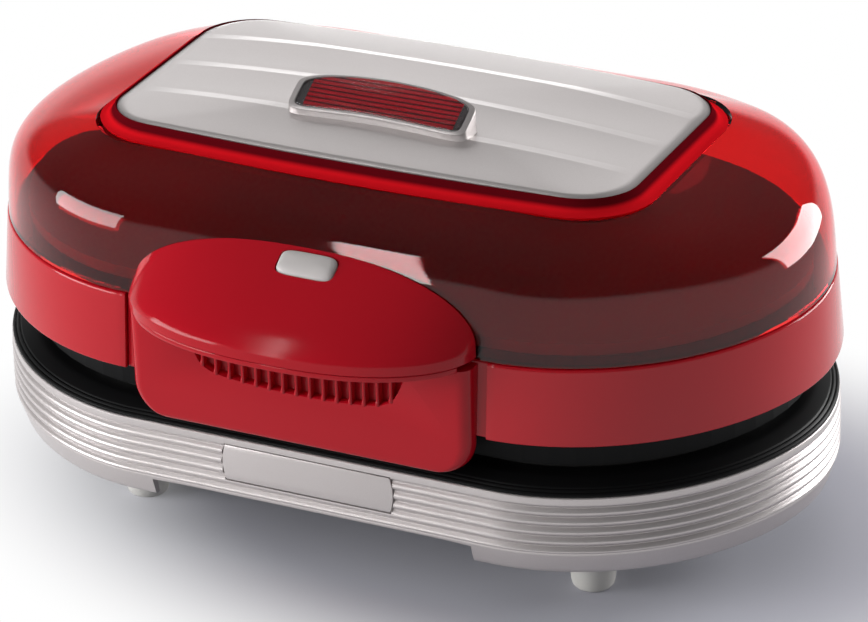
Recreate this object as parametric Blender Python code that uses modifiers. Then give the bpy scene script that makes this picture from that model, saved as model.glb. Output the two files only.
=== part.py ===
"""Hamburger maker: a two-burger contact grill with a stadium plan, a hinged lid under a clear
red dome, a visor handle with a release button, and a ribbed silver base on four feet.

Lengths are metres. Body axes: X to the right, the front is -Y, Z up from the table.
Heights named _Z are above the table; an inset is measured inwards from the widest outline.
"""

import math

import bmesh
import bpy
from mathutils import Matrix, Vector

# Whole body
BODY_LENGTH = 0.300
BODY_DEPTH = 0.1732
BODY_FRONT = BODY_DEPTH / 2
BODY_END = BODY_LENGTH / 2
END_REACH = 0.0837
PLAN_POWER = 1.89
ARC_STEPS = 13
FIT_GAP = 0.0003
OVERRUN = 0.004
SHARP_ANGLE = math.radians(40)
ROUND_SEGMENTS = 24
FINE_SEGMENTS = 16

# Base shell, silver painted
SHELL_TOP_Z = 0.0522
SHELL_WALL = 0.0024
SKIRT_BOTTOM_Z = 0.0231
SKIRT_INSET = 0.0028
LEDGE_Z = 0.0320
LEDGE_DEPTH = 0.0006
GROOVE_COUNT = 5
GROOVE_PITCH = 0.0036
TOP_GROOVE_Z = 0.0484
GROOVE_DEPTH = 0.0010
GROOVE_HALF = 0.0007
CREST_BULGE = 0.0004
LIP_CHAMFER = 0.0005
ARCH_HALF = 0.0594
ARCH_TOP_Z = 0.0300

# Bare badge plate on the front of the base
BADGE_HALF = 0.0305
BADGE_END_BULGE = 0.0012
BADGE_LOW_Z = 0.0365
BADGE_HIGH_Z = 0.0495
BADGE_THICK = 0.0010
BADGE_END_STEPS = 6

# Feet and bottom cover
FOOT_END_INSET = 0.0650
FOOT_X = BODY_END - FOOT_END_INSET
FOOT_SIDE_INSET = 0.0416
FOOT_Y = BODY_FRONT - FOOT_SIDE_INSET
FOOT_TOP_RADIUS = 0.0086
FOOT_TREAD_RADIUS = 0.0066
FOOT_EDGE = 0.0014
COVER_LOW_Z = 0.0313
COVER_THICK = 0.0025
COVER_VENT_LENGTH = 0.040
COVER_VENT_WIDTH = 0.0035
COVER_VENT_PITCH = 0.0095
COVER_VENTS = 5

# Black rim round the top of the base
RIM_FLANGE_Z = SHELL_TOP_Z + FIT_GAP
RIM_EDGE_HEIGHT = 0.0007
RIM_EDGE_INSET = 0.0003
RIM_CREST_INSET = 0.0080
RIM_CREST_Z = 0.0567
RIM_INNER_INSET = 0.0140
RIM_LIP_DEPTH = 0.0050
RIM_LIP_WALL = 0.0020
RIM_SKIN = 0.0024
RIM_RIDGE_INSET = 0.0022
RIM_RIDGE_PITCH = 0.0017
RIM_RIDGE_DEPTH = 0.0004
RIM_RIDGES = 3

# Screw posts of the rim and the screws from below
POST_X = 0.0450
POST_INSET = 0.0096
POST_Y = BODY_FRONT - POST_INSET
POST_RADIUS = 0.0040
SCREW_RADIUS = 0.0015
SCREW_HEAD_RADIUS = 0.0028
SCREW_HEAD = 0.0018
SCREW_GRIP = 0.0120

# Cooking plates: two round cups in each
PLATE_INSET = RIM_INNER_INSET + FIT_GAP
LOWER_FACE_Z = 0.0578
PLATE_SKIN = 0.0030
CUP_END_MARGIN = 0.0335
CUP_WEB = 0.0230
CUP_RADIUS = (BODY_END - CUP_END_MARGIN - CUP_WEB / 2) / 2
CUP_X = CUP_RADIUS + CUP_WEB / 2
CUP_DRAFT = 0.0015
CUP_DEPTH = 0.0120
CUP_SKIN = 0.0025
FACE_GAP = 0.0008
STUD_Y = 0.0500
STUD_RADIUS = 0.0035

# Heating elements
HEATER_RADIUS = 0.0032
HEATER_LOOP_RADIUS = 0.0340
HEATER_TAIL_X = 0.0100
HEATER_TAIL_INSET = 0.0306
HEATER_TAIL_Y = BODY_FRONT - HEATER_TAIL_INSET
HEATER_STEPS = 14

# Lower reflector tray
TRAY_INSET = 0.0190
TRAY_LIP = 0.0030
TRAY_SKIN = 0.0008
TRAY_CLEARANCE = 0.0010

# Thermostat, fuse, terminal block, cord inlet gland
THERMOSTAT_RADIUS = 0.0080
THERMOSTAT_HEIGHT = 0.0085
THERMOSTAT_Y = 0.0180
FUSE_RADIUS = 0.0021
FUSE_LENGTH = 0.0160
FUSE_Y = -0.0080
BLOCK_SIZE = (0.0240, 0.0100, 0.0050)
BLOCK_X = 0.0000
BLOCK_INSET = 0.0121
BLOCK_Y = BODY_FRONT - BLOCK_INSET
GLAND_X = 0.0220
GLAND_Z = 0.0410
GLAND_RADIUS = 0.0050
GLAND_BORE = 0.0036
GLAND_FLANGE = 0.0075
GLAND_LENGTH = 0.0120

# Lid frame, band and front bracket
FRAME_LOW_Z = 0.0597
FRAME_INSET = 0.0095
FRAME_WALL = 0.0024
FRAME_TOP_Z = 0.0997
LEDGE_TOP_Z = 0.0735
LEDGE_SKIN = 0.0020
SHELF_REACH = 0.0030
BAND_LOW_Z = 0.0714
BAND_TOP_Z = 0.0981
BAND_LOW_INSET = -0.0009
BAND_TOP_INSET = 0.0014
BAND_WALL = 0.0024
HANDLE_HALF = 0.0625
BRACKET_MARGIN = 0.0035
BRACKET_HALF = HANDLE_HALF + BRACKET_MARGIN
JOINT_GAP = 0.0004

# Clear dome
SEAM_Z = 0.0987
DOME_INSET = 0.0018
DOME_WALL = 0.0023
SHOULDER_TOP_Z = 0.1382
PEDESTAL_HALF_X = 0.1016
PEDESTAL_SIDE_INSET = 0.0316
PEDESTAL_HALF_Y = BODY_FRONT - PEDESTAL_SIDE_INSET
PEDESTAL_CORNER = 0.0240
DOME_STEPS = 9
SIDE_SHARES = (0.05, 0.85, -0.02, 0.74)
END_SHARES = (0.03, 0.64, 0.10, 0.78)
END_POWER = 6
HALF_SHARE = 0.5

# Silver top plate on its pedestal
TOP_HALF_X = 0.0952
TOP_SIDE_INSET = 0.0051
TOP_HALF_Y = PEDESTAL_HALF_Y - TOP_SIDE_INSET
TOP_CORNER = 0.0183
TOP_BOW_SHARE = 0.08
TOP_EDGE_Z = 0.1438
TOP_END_DROP = 0.0009
TOP_CROWN = 0.0032
TOP_THICK = 0.0032
TOP_SHARES = (0.97, 0.86, 0.66, 0.40, 0.16)
TOP_EDGE_ROUND = 0.0008
PEDESTAL_LIP = 0.0011
PEDESTAL_DROP = 0.0010
SEAT_GAP = 0.0004
RIDGE_PITCH = 0.0260
RIDGE_OFFSET_Y = 0.0020
RIDGE_COUNT = 3
RIDGE_END_MARGIN = 0.0062
RIDGE_HALF_LENGTH = TOP_HALF_X - RIDGE_END_MARGIN
RIDGE_HALF_WIDTH = 0.0026
RIDGE_HEIGHT = 0.0011
RIDGE_STATIONS = 9

# Raised badge on the top plate, with its clear lens
POD_Y = -0.0232
POD_Z = 0.1522
POD_TILT = math.radians(28.6)
POD_HALF_X = 0.0330
POD_LOW = 0.0080
POD_HIGH = 0.0076
POD_ARCH = 0.0046
POD_CORNER_POWER = 5
POD_FOOT_Z = 0.1430
POD_STEPS = 28
BEZEL_WIDTH = 0.0020
BEZEL_POCKET = 0.0024
PRINT_THICK = 0.0010
LENS_THICK = 0.0014

# Handle cap, a visor over the front
ROOT_PROUD = 0.0001
ROOT_HALF = HANDLE_HALF + ROOT_PROUD
LIP_PROJECTION = 0.0294
LIP_REACH = BODY_FRONT + LIP_PROJECTION
LIP_ROOT_INSET = 0.0013
LIP_ROOT_Y = BODY_FRONT - LIP_ROOT_INSET
LIP_LOW_Z = 0.0993
LIP_HIGH_Z = 0.1024
LIP_ROUND = 0.0016
LIP_POWER_X = 2.4
LIP_POWER_Y = 1.8
CAP_END_Z = 0.1040
CAP_RISE = 0.0220
CAP_EDGE_POWER = 2.6
CAP_CROWN = 0.0010
CAP_WALL = 0.0022
CAP_DOME_GAP = 0.0005
CAP_STATIONS = 25

# Underside of the visor
GRIP_THICK = 0.0019
GRIP_EDGE_INSET = 0.0007
GRIP_REAR_PROUD = 0.0060
GRIP_REAR_Y = BODY_FRONT + GRIP_REAR_PROUD

# Handle body below the visor
HANDLE_LOW_Z = 0.0575
HANDLE_TOP_Z = 0.0968
HANDLE_CORNER = 0.0120
HANDLE_EDGE_ROUND = 0.0050
HANDLE_PROUD_LOW = 0.0049
HANDLE_FRONT_LOW = BODY_FRONT + HANDLE_PROUD_LOW
HANDLE_PROUD_HIGH = 0.0054
HANDLE_FRONT_HIGH = BODY_FRONT + HANDLE_PROUD_HIGH
HANDLE_WALL = 0.0023
HANDLE_BACK_GAP = 0.0005
EDGE_STEPS = 4
EDGE_ROUND_SHARE = 0.85
CORNER_STEPS = 4
SLOT_COUNT = 14
SLOT_PITCH = 0.00495
SLOT_WIDTH = 0.0034
SLOT_LOW_Z = 0.0770
SLOT_HIGH_Z = 0.0925
SLOT_SMILE = 0.0030
HANDLE_SCREW_X = 0.0480
HANDLE_SCREW_Z = 0.0850

# Release button, its spring and the latch
BUTTON_X = 0.0037
BUTTON_HALF_X = 0.0102
BUTTON_FRONT_PROUD = 0.0049
BUTTON_FRONT_Y = BODY_FRONT + BUTTON_FRONT_PROUD
BUTTON_REAR_INSET = 0.0030
BUTTON_REAR_Y = BODY_FRONT - BUTTON_REAR_INSET
BUTTON_CORNER_POWER = 4.5
BUTTON_STEPS = 24
BUTTON_PROUD = 0.0008
BUTTON_FLOOR_Z = 0.1150
BUTTON_GAP = 0.0005
STEM_HALF_X = 0.0040
STEM_FRONT_PROUD = 0.0014
STEM_FRONT_Y = BODY_FRONT + STEM_FRONT_PROUD
STEM_REAR_INSET = 0.0028
STEM_REAR_Y = BODY_FRONT - STEM_REAR_INSET
SPRING_X = 0.0092
SPRING_PROUD = 0.0019
SPRING_Y = BODY_FRONT + SPRING_PROUD
SPRING_RADIUS = 0.0024
SPRING_WIRE = 0.0004
SPRING_TURNS = 6
SPRING_TURN_POINTS = 10
LATCH_HALF_X = 0.0045
LATCH_X = -0.0015
LATCH_INSET = 0.0048
LATCH_FRONT_Y = BODY_FRONT - LATCH_INSET
LATCH_THICK = 0.0014
LATCH_LOW_Z = 0.0628
LATCH_TOP_Z = 0.1060
RAMP_RUN = 0.0032
NOSE_REACH = 0.0021
NOSE_HEIGHT = 0.0036
KEEPER_HALF = 0.0100
KEEPER_INSET = 0.0027
KEEPER_FRONT_Y = BODY_FRONT - KEEPER_INSET
KEEPER_THICK = 0.0016
KEEPER_TOP_Z = 0.0696
KEEPER_BAR = 0.0026
KEEPER_POST = 0.0025
KEEPER_LOW_Z = 0.0480
NOTCH_HALF = 0.0125
NOTCH_INSET = 0.0116
NOTCH_REAR_Y = BODY_FRONT - NOTCH_INSET
NOTCH_TOP_Z = 0.1190

# Inner cover under the dome
DECK_Z = 0.1040
DECK_INSET = 0.0093
DECK_SKIN = 0.0010
DECK_EDGE = 0.0040

# Rear hinge
HINGE_PROUD = 0.0084
HINGE_Y = BODY_FRONT + HINGE_PROUD
HINGE_Z = 0.0570
HINGE_X = 0.0480
KNUCKLE_RADIUS = 0.0060
KNUCKLE_LENGTH = 0.0240
ARM_LENGTH = 0.0120
ARM_GAP = 0.0004
HINGE_PIN_RADIUS = 0.0020
BLOCK_LOW_Z = 0.0385
ARM_LOW_Z = 0.0602
ARM_HIGH_Z = 0.0690

# Drawn from the values above
REAR_REACH = HINGE_Y + KNUCKLE_RADIUS
CENTRE_Y = (LIP_REACH - REAR_REACH) / 2
COVER_TOP_Z = COVER_LOW_Z + COVER_THICK
CUP_FLOOR_Z = LOWER_FACE_Z - CUP_DEPTH
CUP_UNDER_Z = CUP_FLOOR_Z - CUP_SKIN
UPPER_FACE_Z = LOWER_FACE_Z + FACE_GAP
UPPER_OVER_Z = UPPER_FACE_Z + CUP_DEPTH + CUP_SKIN
LOWER_HEATER_Z = CUP_UNDER_Z - FIT_GAP - HEATER_RADIUS
UPPER_HEATER_Z = UPPER_OVER_Z + FIT_GAP + HEATER_RADIUS
TRAY_TOP_Z = LOWER_HEATER_Z - HEATER_RADIUS - TRAY_CLEARANCE
LATCH_REAR_Y = LATCH_FRONT_Y - LATCH_THICK

COLOURS = {
    "silver_paint": ((0.62, 0.60, 0.61), 0.35, 0.75),
    "black_plastic": ((0.012, 0.012, 0.013), 0.38, 0.0),
    "red_gloss": ((0.55, 0.015, 0.02), 0.12, 0.0),
    "red_clear": ((0.60, 0.01, 0.015), 0.05, 0.0),
    "clear_lens": ((0.90, 0.90, 0.90), 0.03, 0.0),
    "red_print": ((0.45, 0.01, 0.02), 0.30, 0.2),
    "pale_grey_plastic": ((0.62, 0.61, 0.60), 0.35, 0.0),
    "cast_aluminium": ((0.05, 0.05, 0.05), 0.55, 0.3),
    "sheet_steel": ((0.55, 0.55, 0.54), 0.40, 1.0),
    "bright_steel": ((0.60, 0.60, 0.60), 0.25, 1.0),
    "foot_rubber": ((0.30, 0.30, 0.29), 0.60, 0.0),
    "ceramic": ((0.75, 0.72, 0.66), 0.50, 0.0),
}


def clear_scene():
    """Removes every object of the file the script is run in."""
    for item in list(bpy.data.objects):
        bpy.data.objects.remove(item, do_unlink=True)


def make_collection(name):
    """A new collection linked to the scene."""
    group = bpy.data.collections.new(name)
    bpy.context.scene.collection.children.link(group)
    return group


clear_scene()
PARTS = make_collection("hamburger_maker")
CUTTERS = make_collection("hamburger_maker_cutters")


def make_material(name):
    """A Principled material with the piece's colour, roughness and metallic value."""
    colour, roughness, metallic = COLOURS[name]
    made = bpy.data.materials.new(name)
    made.use_nodes = True
    shader = made.node_tree.nodes["Principled BSDF"]
    shader.inputs["Base Color"].default_value = (*colour, 1.0)
    shader.inputs["Roughness"].default_value = roughness
    shader.inputs["Metallic"].default_value = metallic
    return made


MATERIALS = {name: make_material(name) for name in COLOURS}


def make_pivot(name, parent, y, z):
    """An empty on a joint's axis, y and z in body axes, that carries what moves there."""
    pivot = bpy.data.objects.new(name, None)
    PARTS.objects.link(pivot)
    pivot.parent = parent
    held = Vector((0, 0, 0)) if parent is None else PIVOT_PLACES[parent.name]
    pivot.location = Vector((0, y, z)) - held
    PIVOT_PLACES[name] = Vector((0, y, z)) if parent else Vector((0, 0, 0))
    return pivot


PIVOT_PLACES = {}
BODY = make_pivot("body_frame", None, CENTRE_Y, 0)
LID = make_pivot("lid_pivot", BODY, HINGE_Y, HINGE_Z)
BUTTON = make_pivot("button_slide", LID, -BUTTON_FRONT_Y, BUTTON_FLOOR_Z)
LATCH = make_pivot("latch_slide", LID, -LATCH_FRONT_Y, LATCH_LOW_Z)


def place(item, pivot, at):
    """Parents an object to a pivot, with its origin at a point given in body axes."""
    item.parent = pivot
    item.location = Vector(at) - PIVOT_PLACES[pivot.name]


def smooth(mesh):
    """Smooth shading, with the real edges kept sharp."""
    mesh.shade_smooth()
    mesh.set_sharp_from_angle(angle=SHARP_ANGLE)


def finish(name, shape, pivot, material, at=(0, 0, 0)):
    """Turns a bmesh into a named part of the model."""
    bmesh.ops.recalc_face_normals(shape, faces=shape.faces[:])
    mesh = bpy.data.meshes.new(name)
    shape.to_mesh(mesh)
    shape.free()
    smooth(mesh)
    item = bpy.data.objects.new(name, mesh)
    item.data.materials.append(MATERIALS[material])
    PARTS.objects.link(item)
    place(item, pivot, at)
    return item


def finish_cutter(name, shape, pivot, at=(0, 0, 0)):
    """Turns a bmesh into a hidden tool for a Boolean modifier."""
    bmesh.ops.recalc_face_normals(shape, faces=shape.faces[:])
    mesh = bpy.data.meshes.new(name)
    shape.to_mesh(mesh)
    shape.free()
    item = bpy.data.objects.new(name, mesh)
    CUTTERS.objects.link(item)
    item.hide_render = True
    item.display_type = "WIRE"
    place(item, pivot, at)
    return item


def combine(item, tool, operation):
    """Adds a Boolean modifier that cuts or joins the tool."""
    modifier = item.modifiers.new(tool.name, "BOOLEAN")
    modifier.operation = operation
    modifier.object = tool
    modifier.solver = "EXACT"


def cut(item, tool):
    """Takes the tool out of the item."""
    combine(item, tool, "DIFFERENCE")


def join(item, tool):
    """Adds the tool to the item as one body."""
    combine(item, tool, "UNION")


def loft(loops, ring=False, peak=None):
    """A bmesh through equal loops: capped at both ends, closed into a ring or to a peak."""
    shape = bmesh.new()
    rows = [[shape.verts.new(point) for point in loop] for loop in loops]
    pairs = list(zip(rows, rows[1:]))
    if ring:
        pairs.append((rows[-1], rows[0]))
    else:
        shape.faces.new(rows[0][::-1])
    if peak is not None:
        centre = shape.verts.new(peak)
        for vert, after in zip(rows[-1], rows[-1][1:] + rows[-1][:1]):
            shape.faces.new((vert, after, centre))
    elif not ring:
        shape.faces.new(rows[-1])
    for low, high in pairs:
        for index, vert in enumerate(low):
            after = (index + 1) % len(low)
            shape.faces.new((vert, low[after], high[after], high[index]))
    return shape


def box(low, high):
    """A bmesh box between two corners."""
    shape = bmesh.new()
    size = Vector(high) - Vector(low)
    middle = (Vector(high) + Vector(low)) / 2
    matrix = Matrix.Translation(middle) @ Matrix.Diagonal((*size, 1))
    bmesh.ops.create_cube(shape, size=1, matrix=matrix)
    return shape


def rod(radius_low, radius_high, length, at, turn=None, segments=ROUND_SEGMENTS):
    """A bmesh cylinder or cone centred on a point, along Z or turned by a matrix."""
    shape = bmesh.new()
    matrix = Matrix.Translation(at)
    if turn is not None:
        matrix = matrix @ turn
    bmesh.ops.create_cone(
        shape,
        cap_ends=True,
        segments=segments,
        radius1=radius_low,
        radius2=radius_high,
        depth=length,
        matrix=matrix,
    )
    return shape


ALONG_X = Matrix.Rotation(math.pi / 2, 4, "Y")
ALONG_Y = Matrix.Rotation(-math.pi / 2, 4, "X")


def four_quarters(quarter):
    """The whole anticlockwise outline from its first quarter, right tip first."""
    left = [(-x, y) for x, y in reversed(quarter)]
    below = [(-x, -y) for x, y in quarter[1:]]
    right = [(x, -y) for x, y in reversed(quarter[1:])]
    return quarter + left + below + right


def plan(inset):
    """The body outline drawn in by an inset: straight sides and rounded ends."""
    reach = END_REACH - inset
    depth = BODY_DEPTH / 2 - inset
    straight = BODY_LENGTH / 2 - END_REACH
    power = 2 / PLAN_POWER
    quarter = []
    for step in range(ARC_STEPS + 1):
        turn = math.pi / 2 * step / ARC_STEPS
        along = max(math.cos(turn), 0.0) ** power
        quarter.append((straight + reach * along, depth * math.sin(turn) ** power))
    return four_quarters(quarter)


def plan_loop(inset, z):
    """The drawn-in body outline at a height."""
    return [(x, y, z) for x, y in plan(inset)]


def plan_ring(section):
    """A ring that follows the body outline, from a closed section of (inset, height)."""
    return loft([plan_loop(inset, z) for inset, z in section], ring=True)


def rounded_reach(angle, half_x, half_y, corner):
    """Distance from the centre to a rounded rectangle, in the direction of an angle."""
    across = abs(math.cos(angle))
    up = abs(math.sin(angle))
    reach = min(half_x / max(across, 1e-9), half_y / max(up, 1e-9))
    middle_x = half_x - corner
    middle_y = half_y - corner
    if reach * across > middle_x and reach * up > middle_y:
        along = middle_x * across + middle_y * up
        square = along ** 2 - (middle_x ** 2 + middle_y ** 2 - corner ** 2)
        reach = along + math.sqrt(max(square, 0.0))
    return reach


def rounded_loop(half_x, half_y, corner, z):
    """A rounded rectangle with its points on the same rays as the body outline's."""
    loop = []
    for x, y in plan(0):
        angle = math.atan2(y, x)
        reach = rounded_reach(angle, half_x, half_y, corner)
        loop.append((reach * math.cos(angle), reach * math.sin(angle), z))
    return loop


def cubic(share, first, second):
    """Height of a cubic curve from 0 to 1 with two handles."""
    rest = 1 - share
    return 3 * rest ** 2 * share * first + 3 * rest * share ** 2 * second + share ** 3


def mixed(first, second, share):
    """Values between two rows of values."""
    return [a + (b - a) * share for a, b in zip(first, second)]


def dome_point(x, y, share, wall=0.0):
    """A point of the dome over the outline point x, y, share of the way up to the pedestal."""
    along = min(abs(x) / (BODY_LENGTH / 2), 1.0)
    handles = mixed(SIDE_SHARES, END_SHARES, along ** END_POWER)
    inward = cubic(share, handles[0], handles[2])
    upward = cubic(share, handles[1], handles[3])
    angle = math.atan2(y, x)
    half_x = PEDESTAL_HALF_X - wall
    half_y = PEDESTAL_HALF_Y - wall
    inner = rounded_reach(angle, half_x, half_y, PEDESTAL_CORNER - wall)
    reach = math.hypot(x, y) * (1 - inward) + inner * inward
    height = SEAM_Z + (SHOULDER_TOP_Z - wall - SEAM_Z) * upward
    return (reach * math.cos(angle), reach * math.sin(angle), height)


def dome_loop(share, wall=0.0):
    """One loop of the dome's outer face, or of its inner face when a wall is given."""
    outline = plan(DOME_INSET + wall)
    return [dome_point(x, y, share, wall) for x, y in outline]


def build_base_shell():
    """Ribbed silver wall of the base, open above and below, with arches front and back."""
    outer = [(SHELL_WALL, SHELL_TOP_Z), (LIP_CHAMFER, SHELL_TOP_Z), (0, SHELL_TOP_Z - LIP_CHAMFER)]
    for index in range(GROOVE_COUNT):
        middle = TOP_GROOVE_Z - GROOVE_PITCH * index
        outer.append((0, middle + GROOVE_HALF))
        outer.append((GROOVE_DEPTH, middle))
        outer.append((0, middle - GROOVE_HALF))
        if index < GROOVE_COUNT - 1:
            outer.append((-CREST_BULGE / 2, middle - GROOVE_PITCH / 2))
    outer.append((LEDGE_DEPTH / 2, LEDGE_Z + LEDGE_DEPTH))
    outer.append((LEDGE_DEPTH * 2, LEDGE_Z))
    outer.append((LEDGE_DEPTH, LEDGE_Z - LEDGE_DEPTH))
    outer.append((SKIRT_INSET, SKIRT_BOTTOM_Z))
    inner = [
        (SKIRT_INSET + SHELL_WALL, SKIRT_BOTTOM_Z),
        (SHELL_WALL + LEDGE_DEPTH, LEDGE_Z),
        (SHELL_WALL, TOP_GROOVE_Z),
    ]
    shell = finish("base_shell", plan_ring(outer + inner), BODY, "silver_paint")
    arch = box(
        (-ARCH_HALF, -BODY_DEPTH, SKIRT_BOTTOM_Z - OVERRUN),
        (ARCH_HALF, BODY_DEPTH, ARCH_TOP_Z),
    )
    cut(shell, finish_cutter("arch_cutter", arch, BODY))
    pocket = badge_prism(BADGE_THICK + FIT_GAP, FIT_GAP, OVERRUN)
    cut(shell, finish_cutter("badge_pocket_cutter", pocket, BODY))
    reach = GLAND_RADIUS + FIT_GAP
    where = (GLAND_X, BODY_DEPTH / 2, GLAND_Z)
    bore = rod(reach, reach, SHELL_WALL * 4, where, ALONG_Y, FINE_SEGMENTS)
    cut(shell, finish_cutter("gland_cutter", bore, BODY))
    return shell


def badge_prism(depth, margin, proud):
    """The front badge plate's shape with bulging ends: depth behind the wall's face."""
    middle = (BADGE_LOW_Z + BADGE_HIGH_Z) / 2
    half = (BADGE_HIGH_Z - BADGE_LOW_Z) / 2 + margin
    outline = []
    for side in (1, -1):
        for step in range(BADGE_END_STEPS + 1):
            height = side * half * (2 * step / BADGE_END_STEPS - 1)
            bulge = BADGE_END_BULGE * (1 - (height / half) ** 2)
            outline.append((side * (BADGE_HALF + margin + bulge), middle + height))
    back = [(x, -BODY_DEPTH / 2 + depth, z) for x, z in outline]
    front = [(x, -BODY_DEPTH / 2 - proud, z) for x, z in outline]
    return loft([back, front])


def build_front_badge():
    """Bare plate set in a pocket on the front of the base."""
    plate = badge_prism(BADGE_THICK, 0, CREST_BULGE)
    return finish("front_badge_plate", plate, BODY, "silver_paint")


def build_foot(name, side, end):
    """A tapered foot turned from its profile, standing on the table."""
    top = COVER_LOW_Z - FIT_GAP
    profile = [
        (0, top),
        (FOOT_TOP_RADIUS, top),
        (FOOT_TREAD_RADIUS + FOOT_EDGE / 2, FOOT_EDGE),
        (FOOT_TREAD_RADIUS - FOOT_EDGE / 2, 0),
        (0, 0),
    ]
    mesh = bpy.data.meshes.new(name)
    edges = [(index, index + 1) for index in range(len(profile) - 1)]
    mesh.from_pydata([(x, 0, z) for x, z in profile], edges, [])
    foot = bpy.data.objects.new(name, mesh)
    foot.data.materials.append(MATERIALS["foot_rubber"])
    PARTS.objects.link(foot)
    place(foot, BODY, (side * FOOT_X, end * FOOT_Y, 0))
    turned = foot.modifiers.new("turned", "SCREW")
    turned.steps = ROUND_SEGMENTS
    turned.render_steps = ROUND_SEGMENTS
    turned.use_merge_vertices = True
    turned.merge_threshold = 1e-5
    turned.use_smooth_shade = True
    return foot


def shell_inner_inset(z):
    """Inset of the base shell's inner face at a height on its skirt."""
    share = (LEDGE_Z - z) / (LEDGE_Z - SKIRT_BOTTOM_Z)
    return SHELL_WALL + LEDGE_DEPTH + (SKIRT_INSET - LEDGE_DEPTH) * share


def build_bottom_cover():
    """Flat cover that closes the base from below, with vents and screw holes."""
    inset = max(shell_inner_inset(COVER_LOW_Z), SHELL_WALL + LEDGE_DEPTH) + FIT_GAP
    loops = [plan_loop(inset, COVER_LOW_Z), plan_loop(inset, COVER_TOP_Z)]
    cover = finish("bottom_cover", loft(loops), BODY, "black_plastic")
    for index in range(COVER_VENTS):
        middle = (index - (COVER_VENTS - 1) / 2) * COVER_VENT_PITCH
        vent = box(
            (-COVER_VENT_LENGTH / 2, middle - COVER_VENT_WIDTH / 2, COVER_LOW_Z - OVERRUN),
            (COVER_VENT_LENGTH / 2, middle + COVER_VENT_WIDTH / 2, COVER_TOP_Z + OVERRUN),
        )
        cut(cover, finish_cutter(f"vent_cutter_{index + 1}", vent, BODY))
    for index, (x, y) in enumerate(post_places()):
        radius = SCREW_RADIUS + FIT_GAP
        hole = rod(radius, radius, COVER_THICK + 2 * OVERRUN, (x, y, COVER_TOP_Z), None, FINE_SEGMENTS)
        cut(cover, finish_cutter(f"cover_hole_cutter_{index + 1}", hole, BODY))
    return cover


def post_places():
    """Plan places of the four screw posts."""
    return [(side * POST_X, end * POST_Y) for side in (-1, 1) for end in (-1, 1)]


def build_screws():
    """Four screws through the bottom cover into the rim's posts."""
    names = ("front_left", "rear_left", "front_right", "rear_right")
    for name, (x, y) in zip(names, post_places()):
        head_top = COVER_LOW_Z - FIT_GAP
        shank_top = COVER_TOP_Z + SCREW_GRIP
        head = rod(
            SCREW_HEAD_RADIUS, SCREW_HEAD_RADIUS, SCREW_HEAD, (0, 0, SCREW_HEAD / 2), None, FINE_SEGMENTS
        )
        screw = finish(f"bottom_screw_{name}", head, BODY, "bright_steel", (x, y, head_top - SCREW_HEAD))
        length = shank_top - head_top + SCREW_HEAD / 2
        middle = (0, 0, SCREW_HEAD / 2 + length / 2)
        shank = rod(SCREW_RADIUS, SCREW_RADIUS, length, middle, None, FINE_SEGMENTS)
        tool = finish_cutter(f"shank_{name}", shank, BODY, (x, y, head_top - SCREW_HEAD))
        join(screw, tool)


def build_base_rim():
    """Black rim that slopes up from the silver shell to the cooking plate."""
    section = [(RIM_EDGE_INSET, RIM_FLANGE_Z), (RIM_EDGE_INSET, RIM_FLANGE_Z + RIM_EDGE_HEIGHT)]
    start_z = RIM_FLANGE_Z + RIM_EDGE_HEIGHT
    slope = (RIM_CREST_Z - start_z) / (RIM_CREST_INSET - RIM_EDGE_INSET)
    for index in range(RIM_RIDGES):
        inset = RIM_RIDGE_INSET + RIM_RIDGE_PITCH * index
        height = start_z + slope * (inset - RIM_EDGE_INSET)
        section.append((inset - RIM_RIDGE_DEPTH, height))
        section.append((inset, height - RIM_RIDGE_DEPTH))
        section.append((inset + RIM_RIDGE_DEPTH, height + RIM_RIDGE_DEPTH))
    lip_outer = SHELL_WALL + FIT_GAP + RIM_EDGE_INSET
    section += [
        (RIM_CREST_INSET, RIM_CREST_Z),
        (RIM_INNER_INSET, RIM_CREST_Z),
        (RIM_INNER_INSET, RIM_CREST_Z - RIM_SKIN),
        (lip_outer + RIM_LIP_WALL, RIM_FLANGE_Z),
        (lip_outer + RIM_LIP_WALL, RIM_FLANGE_Z - RIM_LIP_DEPTH),
        (lip_outer, RIM_FLANGE_Z - RIM_LIP_DEPTH),
        (lip_outer, RIM_FLANGE_Z),
    ]
    rim = finish("base_rim", plan_ring(section), BODY, "black_plastic")
    for index, (x, y) in enumerate(post_places()):
        low = COVER_TOP_Z + FIT_GAP
        high = RIM_CREST_Z - RIM_SKIN / 2
        post = rod(POST_RADIUS, POST_RADIUS, high - low, (x, y, (low + high) / 2), None, FINE_SEGMENTS)
        join(rim, finish_cutter(f"rim_post_{index + 1}", post, BODY))
        radius = SCREW_RADIUS + FIT_GAP
        depth = SCREW_GRIP + 2 * FIT_GAP
        centre = (x, y, COVER_TOP_Z + (depth - OVERRUN) / 2)
        bore = rod(radius, radius, depth + OVERRUN, centre, None, FINE_SEGMENTS)
        cut(rim, finish_cutter(f"rim_bore_{index + 1}", bore, BODY))
    slot = box(
        (-KEEPER_HALF - FIT_GAP, -KEEPER_FRONT_Y - FIT_GAP, KEEPER_LOW_Z - OVERRUN),
        (KEEPER_HALF + FIT_GAP, -KEEPER_FRONT_Y + KEEPER_THICK + FIT_GAP, RIM_CREST_Z + OVERRUN),
    )
    cut(rim, finish_cutter("keeper_slot_cutter", slot, BODY))
    return rim


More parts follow.
